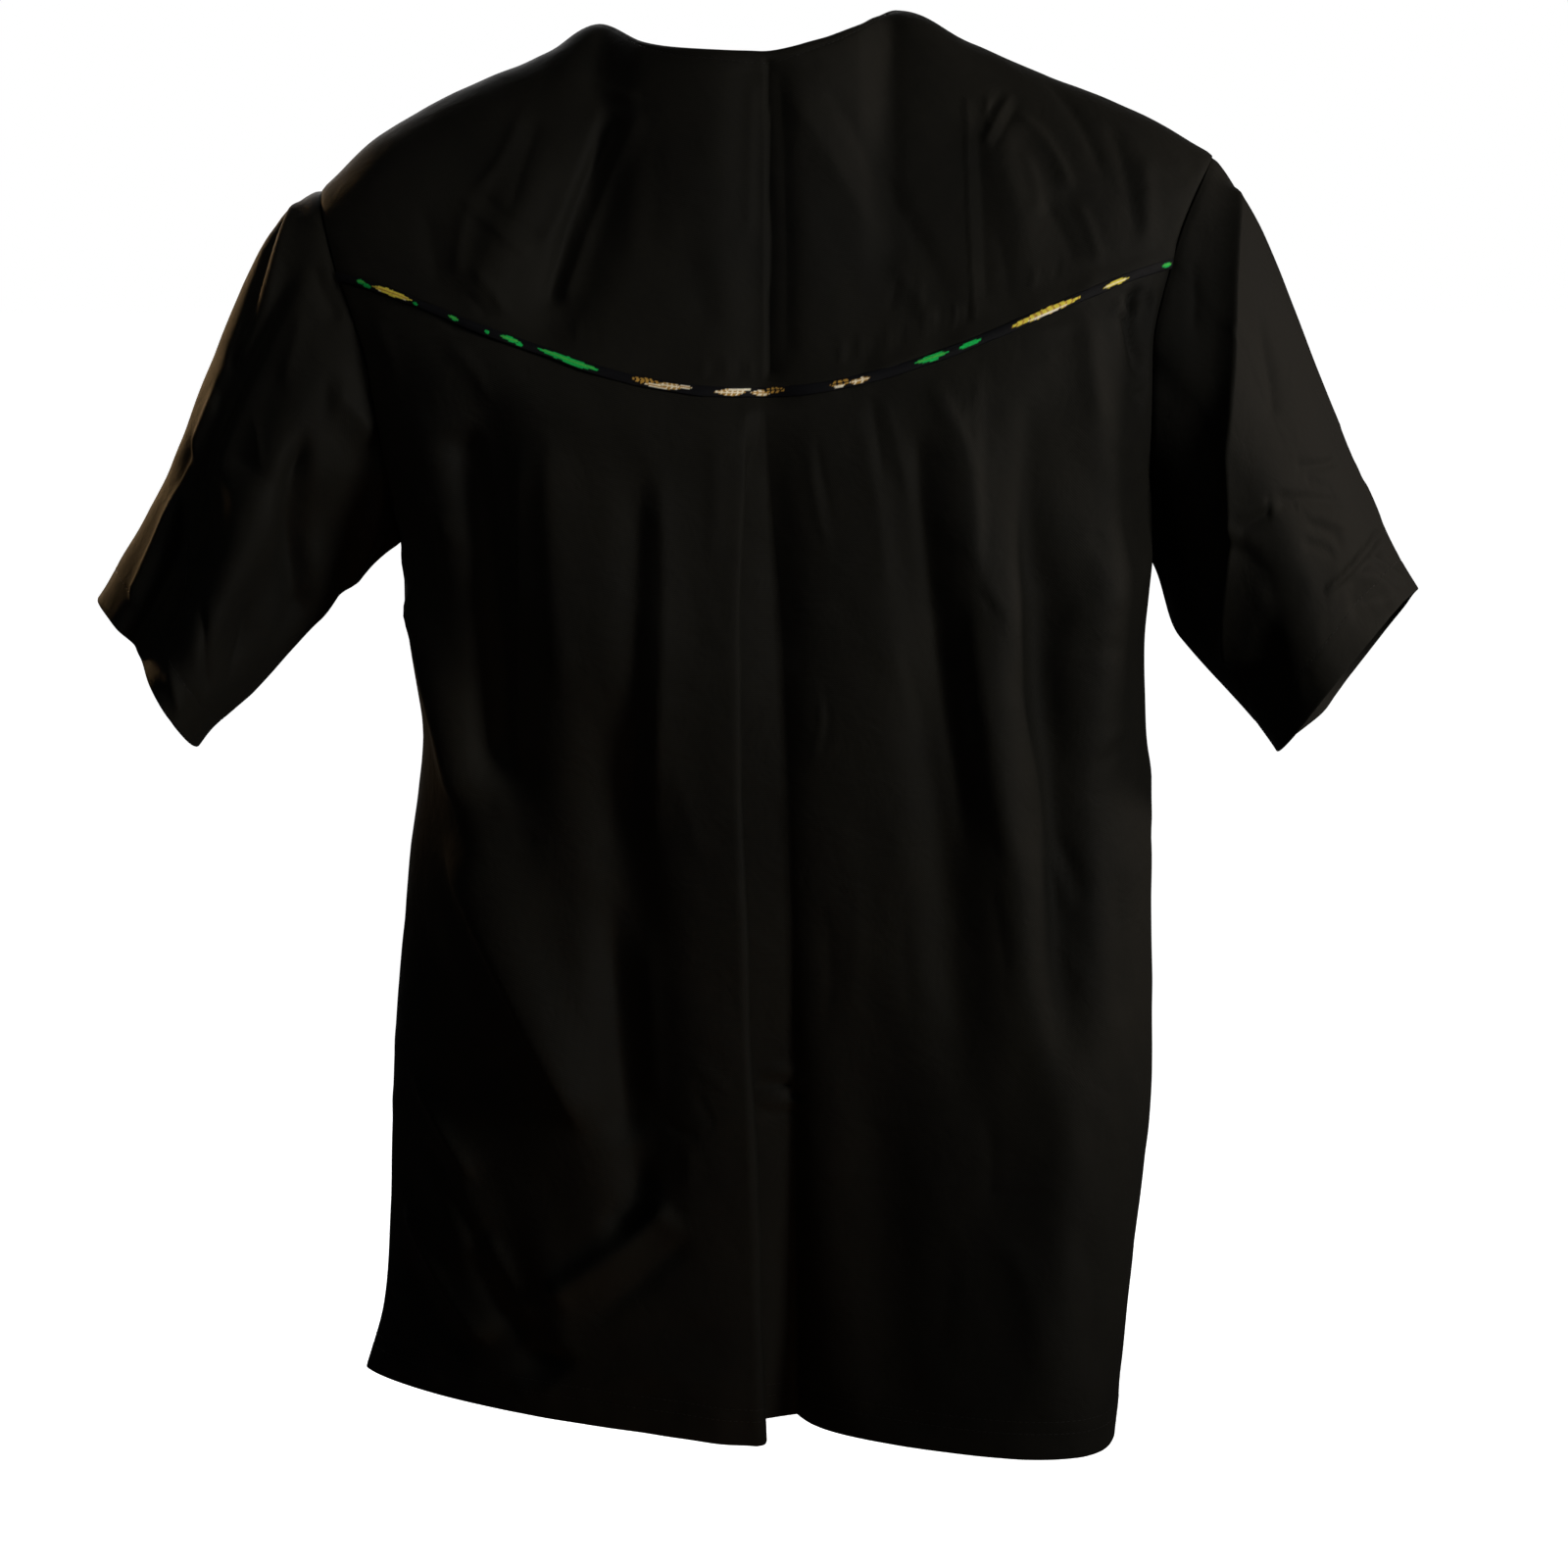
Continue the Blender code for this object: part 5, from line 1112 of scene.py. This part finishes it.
def print_colours(grid, share):
    """Ink colour of each point of the piping, from the table of printed motifs.

    A motif is a leaf: it covers a point where the point's height from the
    strip's middle is under the leaf's half height, which falls to nothing at
    both tips. Ribs of the second ink cross it, and a vein runs along it.
    """
    x, q = grid[..., 0], (2.0 * share - 1.0)[:, None]
    inks = {name: linear(code) for name, code in PRINT_INKS.items()}
    colour = np.zeros((*x.shape, 4))
    colour[:] = inks["ground"]
    rough = 0.16 * soft_noise(x, q * 0.002 + x * 0, 0.0016, 8)
    for start, end, middle, tall, ink, second, ribs in PIPING_PRINT:
        s = (x - 0.5 * (start + end)) / (0.5 * (end - start))
        over = np.abs(q - middle) / tall + np.abs(s) ** 2.2 + rough
        inside = over < 1.0
        colour[inside] = inks[ink]
        if ribs:
            rib = np.modf((s + 4.0) * 0.5 * ribs + 0.5 * np.abs(q - middle))[0]
            colour[inside & (np.abs(rib - 0.5) < 0.17)] = inks[second]
        vein = np.abs(q - middle) < 0.10
        colour[inside & vein & (np.abs(s) < 0.8)] = inks[second]
    return colour


def linear(code):
    """An sRGB hex colour as linear red, green and blue with full alpha."""
    parts = [int(code[i:i + 2], 16) / 255 for i in (1, 3, 5)]
    return (*((p / 12.92 if p <= 0.04045 else ((p + 0.055) / 1.055) ** 2.4) for p in parts), 1.0)


def feed(tree, node, inputs):
    """Sets a node's sockets: a value goes in as it is, another node's socket is linked."""
    for name, value in inputs.items():
        if isinstance(value, bpy.types.NodeSocket):
            tree.links.new(value, node.inputs[name])
        else:
            node.inputs[name].default_value = value


def add(tree, kind, inputs, **settings):
    """Adds one node with its inputs and settings."""
    made = tree.nodes.new(kind)
    for name, value in settings.items():
        setattr(made, name, value)
    feed(tree, made, inputs)
    return made


def noise(tree, scale, **inputs):
    """Noise in the object's own coordinates: its value socket."""
    place = add(tree, "ShaderNodeTexCoord", {})
    return add(tree, "ShaderNodeTexNoise",
               {"Vector": place.outputs["Object"], "Scale": scale, **inputs}).outputs["Fac"]


def weave(tree, warp_way, warp, weft):
    """Two sets of bands along the cloth's lengths, added: their value socket."""
    place = add(tree, "ShaderNodeTexCoord", {})
    sets = [add(tree, "ShaderNodeTexWave", {"Vector": place.outputs["UV"], **inputs},
                wave_type="BANDS", bands_direction=way).outputs["Fac"]
            for way, inputs in ((warp_way, warp), ("Y", weft))]
    return add(tree, "ShaderNodeMath", {0: sets[0], 1: sets[1]}, operation="ADD").outputs[0]


def bump(tree, height, strength, distance, **under):
    """A bump of a height over the bump under it: its normal socket."""
    return add(tree, "ShaderNodeBump", {"Height": height, "Strength": strength,
                                        "Distance": distance, **under}).outputs[0]


def ramp(tree, value, codes, places=(0.0, 1.0)):
    """Colours eased between two codes by a value: its colour socket."""
    made = add(tree, "ShaderNodeValToRGB", {"Fac": value})
    for k, code in enumerate(codes):
        made.color_ramp.elements[k].position = places[k]
        made.color_ramp.elements[k].color = linear(code)
    return made.outputs["Color"]


def ranged(tree, value, **limits):
    """A value brought to other limits: its value socket."""
    names = {name.replace("_", " "): limit for name, limit in limits.items()}
    return add(tree, "ShaderNodeMapRange", {"Value": value, **names}).outputs[0]


def new_material(name):
    material = bpy.data.materials.new(name)
    material.use_nodes = True
    tree = material.node_tree
    return material, tree, tree.nodes["Principled BSDF"]


def cotton_sateen():
    """Black cotton sateen: deep black with a soft grey sheen where it turns to the light."""
    material, tree, shader = new_material("black_cotton_sateen")
    # Dye and lint leave the black slightly uneven over a few centimetres.
    cloud = noise(tree, 9.0, Detail=4.0, Roughness=0.6)
    # Sateen floats: fine ribs across the warp. Real threads are 0.35 mm apart,
    # too fine for the render, so the ribs are drawn at 1 mm.
    ribs = weave(tree, "DIAGONAL", {"Scale": 0.628 / 0.0010, "Distortion": 1.2, "Detail": 1.0},
                 {"Scale": 0.314 / 0.0011, "Distortion": 0.8, "Detail": 1.0})
    normal = bump(tree, ribs, 0.5, 0.00005)
    normal = bump(tree, noise(tree, 260.0, Detail=3.0), 0.4, 0.0002, Normal=normal)
    # Slight unevenness of worn cloth, over 12 mm and more.
    normal = bump(tree, noise(tree, 42.0, Detail=3.0, Roughness=0.55, Distortion=0.4), 0.6, 0.0020,
                  Normal=normal)
    feed(tree, shader, {
        "Base Color": ramp(tree, cloud, ("#10100e", "#171612"), (0.3, 0.72)),
        "Roughness": ranged(tree, cloud, To_Min=0.70, To_Max=0.80),
        "Normal": normal, "Specular IOR Level": 0.09, "Sheen Weight": 0.005,
        "Sheen Roughness": 0.35, "Sheen Tint": linear("#b9b4ae")})
    return material


def printed_cotton():
    """Printed cotton of the piping: bright inks on near-black, a plain weave, no gloss."""
    material, tree, shader = new_material("printed_cotton")
    ink = add(tree, "ShaderNodeAttribute", {}, attribute_name="ink")
    worn = ranged(tree, noise(tree, 900.0, Detail=2.0), From_Min=0.35, From_Max=0.7,
                  To_Min=0.78, To_Max=1.0)
    mixed = add(tree, "ShaderNodeVectorMath", {0: ink.outputs["Color"], 1: worn},
                operation="MULTIPLY")
    # Plain weave at 0.6 mm, about twice the real thread spacing so that it shows.
    plain = weave(tree, "X", {"Scale": 0.314 / 0.0006}, {"Scale": 0.314 / 0.0006})
    feed(tree, shader, {"Base Color": mixed.outputs[0], "Normal": bump(tree, plain, 0.5, 0.00008),
                        "Roughness": 0.7, "Specular IOR Level": 0.12})
    return material


def sewing_thread():
    """Black polyester thread: a twisted strand, a little glossier than the cotton."""
    material, tree, shader = new_material("black_sewing_thread")
    twist = noise(tree, 1500.0)
    feed(tree, shader, {"Base Color": ramp(tree, twist, ("#0c0c0c", "#1a1918")),
                        "Normal": bump(tree, twist, 0.6, 0.0001),
                        "Roughness": 0.55, "Specular IOR Level": 0.2})
    return material


def studio():
    """Pale floor, pale surroundings and soft lamps, the main one on the right."""
    scene = bpy.context.scene
    scene.view_settings.view_transform = "Standard"
    material, tree, shader = new_material("pale_painted_floor")
    feed(tree, shader, {"Base Color": ramp(tree, noise(tree, 3.0), ("#f2f2f1", "#f7f7f6")),
                        "Roughness": 0.8, "Emission Color": (1.0, 1.0, 1.0, 1.0),
                        "Emission Strength": 1.0})
    corners = [(x * FLOOR_HALF, y * FLOOR_HALF, FLOOR_Z)
               for x, y in ((-1, -1), (1, -1), (1, 1), (-1, 1))]
    floor = new_object("floor", np.array(corners), np.array([[0, 1, 2, 3]]), [material])
    floor.visible_diffuse = False
    floor.visible_glossy = False
    world = bpy.data.worlds.new("studio")
    scene.world = world
    world.use_nodes = True
    tree = world.node_tree
    path = add(tree, "ShaderNodeLightPath", {})
    strength = ranged(tree, path.outputs["Is Camera Ray"], To_Min=AMBIENT, To_Max=1.0)
    feed(tree, tree.nodes["Background"], {"Color": (1.0, 1.0, 1.0, 1.0), "Strength": strength})
    for name, place, aim, size, spread, power, colour in LAMPS:
        light = bpy.data.lights.new(name, "AREA")
        light.shape = "RECTANGLE"
        light.size, light.size_y = size
        light.spread = math.radians(spread)
        light.energy = power
        light.color = linear(colour)[:3]
        lamp = bpy.data.objects.new(name, light)
        scene.collection.objects.link(lamp)
        back = unit(np.array(place) - np.array(aim))
        side = unit(np.cross((0.0, 0.0, 1.0), back))
        matrix = np.eye(4)
        matrix[:3] = np.stack([side, np.cross(back, side), back, place], 1)
        lamp.matrix_world = Matrix(matrix)


def camera():
    """A long lens at the photograph's angle, 9 degrees above the shirt's middle."""
    data = bpy.data.cameras.new("camera")
    data.lens, data.sensor_width = CAMERA_LENS, 36.0
    ob = bpy.data.objects.new("camera", data)
    ob.location = CAMERA_PLACE
    ob.rotation_euler = (math.radians(CAMERA_TILT), 0.0, 0.0)
    bpy.context.scene.collection.objects.link(ob)
    bpy.context.scene.camera = ob


def moved_out(grid, height, facing):
    """The grid moved along its outward normals by a height at each point."""
    return grid + grid_normals(grid, False, facing) * height[..., None]


def uneven(grid, seed):
    """Slight unevenness of hanging cotton: soft noise, longer down the cloth than across."""
    x, z = grid[..., 0] + 0.5 * grid[..., 1], grid[..., 2]
    return (0.00060 * soft_noise(x, z * 0.45, 0.030, seed)
            + 0.00034 * soft_noise(x + 0.3 * z, z * 0.6, 0.013, seed + 1))


def seam_dip(far, deep=0.0007, wide=0.0024):
    """The groove that a seam draws into the cloth beside it."""
    return -deep * np.exp(-(far / wide) ** 2)


def seam_pucker(far, along, tall, reach, pitch, seed):
    """Small puckers square to a seam, strongest at it and gone past their reach."""
    return tall * soft_noise(along, far * 0.25, pitch, seed) * np.exp(-(far / reach) ** 2)


def edges(grid):
    """Distances from a panel's top, hem, left and right edges, then 0 at its sides to 1 inside."""
    top, hem = along_rows(grid, "first"), along_rows(grid, "last")
    left, right = along_columns(grid, "first"), along_columns(grid, "last")
    return top, hem, left, right, smooth_step(np.minimum(left, right) / 0.012)


def creased(grid, wrinkles, seed):
    """Height of a panel's creases, its unevenness and the dips of its side seams."""
    _, _, left, right, keep = edges(grid)
    height = fold_height(wrinkles, grid[..., 0], grid[..., 2]) + uneven(grid, seed)
    return height * keep + seam_dip(left) + seam_dip(right)


def hem_puckers(grid, reach, seed):
    """Height of the puckers along a panel's hem and both of its side seams."""
    _, hem, left, right, keep = edges(grid)
    sides = (seam_pucker(left, hem, 0.0006, reach, 0.011, seed + 1)
             + seam_pucker(right, hem, 0.0005, 0.012, 0.013, seed + 2))
    return seam_pucker(np.abs(hem - HEM_MIDDLE), left, 0.00035, 0.008, 0.010, seed) + sides * keep


def stitch_dips(far, rows):
    """Height of the fine grooves under rows of stitches, by the distance from their edge."""
    return sum(seam_dip(np.abs(far - row), 0.00025, 0.0012) for row in rows)


def at_shoulders(x):
    """1 along the shoulder seams of a top edge, 0 along its neckline."""
    return smooth_step((NECK_COLUMNS[0] - x) / 0.004) + smooth_step((x - NECK_COLUMNS[1]) / 0.004)


def shaped_back(grid):
    top, hem, left, _, _ = edges(grid)
    height = creased(grid, BACK_WRINKLES, 11) + hem_puckers(grid, 0.016, 32)
    height += seam_pucker(top, left, 0.0005, 0.010, 0.012, 31) + seam_dip(top, 0.0004)
    height += stitch_dips(hem, HEM_STITCHES)
    return moved_out(grid, height, -1)


def shaped_yoke(grid):
    top, low, left, _, _ = edges(grid)
    shoulder = at_shoulders(grid[..., 0])
    height = creased(grid, YOKE_WRINKLES, 21) + 0.0011 * np.exp(-(low / 0.007) ** 2)
    height += seam_pucker(low, left, 0.0006, 0.012, 0.014, 35) + seam_dip(top) * shoulder
    height += stitch_dips(top, NECK_STITCHES) * (1 - shoulder)
    return moved_out(grid, height, -1)


def shaped_front(grid):
    height = creased(grid, FRONT_WRINKLES, 41) + hem_puckers(grid, 0.014, 42)
    height += seam_dip(edges(grid)[0]) * at_shoulders(grid[..., 0])
    return moved_out(grid, height, 1)


def shaped_sleeve(side, loop):
    outward, seed = (-1, 51) if side == "left" else (1, 52)
    points, angle = loop
    grid = sleeve_grid(side, points, angle)
    far, cuff = along_rows(grid, "first"), along_rows(grid, "last")
    degrees = np.broadcast_to(np.degrees(angle), far.shape)
    around = along_columns(np.concatenate([grid, grid[:, :1]], 1), "first")[:, -1:] / 360.0
    height = uneven(grid, seed) + seam_dip(far) + stitch_dips(cuff, CUFF_STITCHES)
    for shift in (-360.0, 0.0, 360.0):
        height += fold_height(SLEEVE_WRINKLES[side], (degrees + shift) * SLEEVE_DEGREE, far)
    height += seam_pucker(far, degrees * around, 0.0006, 0.012, 0.013, 53)
    height += seam_pucker(np.abs(cuff - 0.012), degrees * around, 0.00035, 0.010, 0.012, 54)
    return grid + grid_normals(grid, True, outward) * height[..., None]


def finished(ob, slot, *nodes):
    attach(ob, "root")
    if nodes:
        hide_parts(*nodes)
    return ob


def panel(name, grid, outward, material, hem, top):
    """A cut panel with its side allowances, its hem and its top edge turned under."""
    normals = grid_normals(grid, False, outward)
    for axis, end, depth in ((1, "first", SEAM_ALLOWANCE), (1, "last", SEAM_ALLOWANCE),
                             (0, "first", top), (0, "last", hem)):
        grid, normals = turned_under(grid, normals, axis, end, depth)
    return cloth_shell(name, grid, False, outward, material)


def main():
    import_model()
    camera()
    cotton, thread = cotton_sateen(), sewing_thread()
    plain_back, plain_yoke = back_grid(), yoke_grid()
    yoke = shaped_yoke(plain_yoke)
    back = on_side_line(shaped_back(plain_back), plain_back, -SIDE_CLEAR)
    front = shaped_front(on_side_line(front_grid(), plain_back, SIDE_CLEAR))
    made = {
        "yoke": panel("back_yoke_cloth", yoke, -1, cotton, SEAM_ALLOWANCE, NECK_TURN),
        "back": panel("back_panel_cloth", back, -1, cotton, HEM_TURN, SEAM_ALLOWANCE),
        "front": panel("front_panel_cloth", front, 1, cotton, HEM_TURN, NECK_TURN),
    }
    finished(made["yoke"], "cotton", "back_yoke")
    finished(made["back"], "cotton", "back_panel")
    finished(made["front"], "cotton", "front_panel")
    cuff_rows = []
    for side, column, outward in (("left", 0, -1), ("right", -1, 1)):
        grid = shaped_sleeve(side, armhole_loop(column, plain_yoke, back, front))
        normals = grid_normals(grid, True, outward)
        cuff_rows += [(*line_at(grid, normals, "last", row), True) for row in CUFF_STITCHES]
        for end, depth in (("first", SEAM_ALLOWANCE), ("last", HEM_TURN)):
            grid, normals = turned_under(grid, normals, 0, end, depth)
        ob = cloth_shell("sleeve_%s_cloth" % side, grid, True, outward, cotton)
        made[side] = finished(ob, "cotton", "sleeve_" + side)
    strip, share = piping_grid(plain_back[0], grid_normals(plain_back, False, -1)[0],
                               unit(plain_back[1] - plain_back[0]))
    piping = cloth_shell("yoke_piping_strip", strip, False, 1, printed_cotton(), PIPING_CLOTH)
    ink = print_colours(strip, share).reshape(-1, 4)
    attribute = piping.data.color_attributes.new("ink", "FLOAT_COLOR", "POINT")
    attribute.data.foreach_set("color", np.concatenate([ink, ink]).ravel())
    finished(piping, "piping", "yoke_piping")
    hem_rows, neck_rows = [], []
    for grid, outward in ((back, -1), (front, 1)):
        normals = grid_normals(grid, False, outward)
        hem_rows += [(*line_at(grid, normals, "last", row), False) for row in HEM_STITCHES]
    for grid, outward in ((yoke, -1), (front, 1)):
        x = grid[0, :, 0]
        inside = (x > NECK_COLUMNS[0] + 0.002) & (x < NECK_COLUMNS[1] - 0.002)
        normals = grid_normals(grid, False, outward)
        line, above = line_at(grid, normals, "first", NECK_STITCHES[0])
        neck_rows.append((line[inside], above[inside], False))
    hem, cuffs, neck = (finished(stitches(name, rows, thread), "cotton") for name, rows in (
        ("hem_stitches", hem_rows), ("cuff_stitches", cuff_rows), ("neck_stitches", neck_rows)))
    studio()


main()
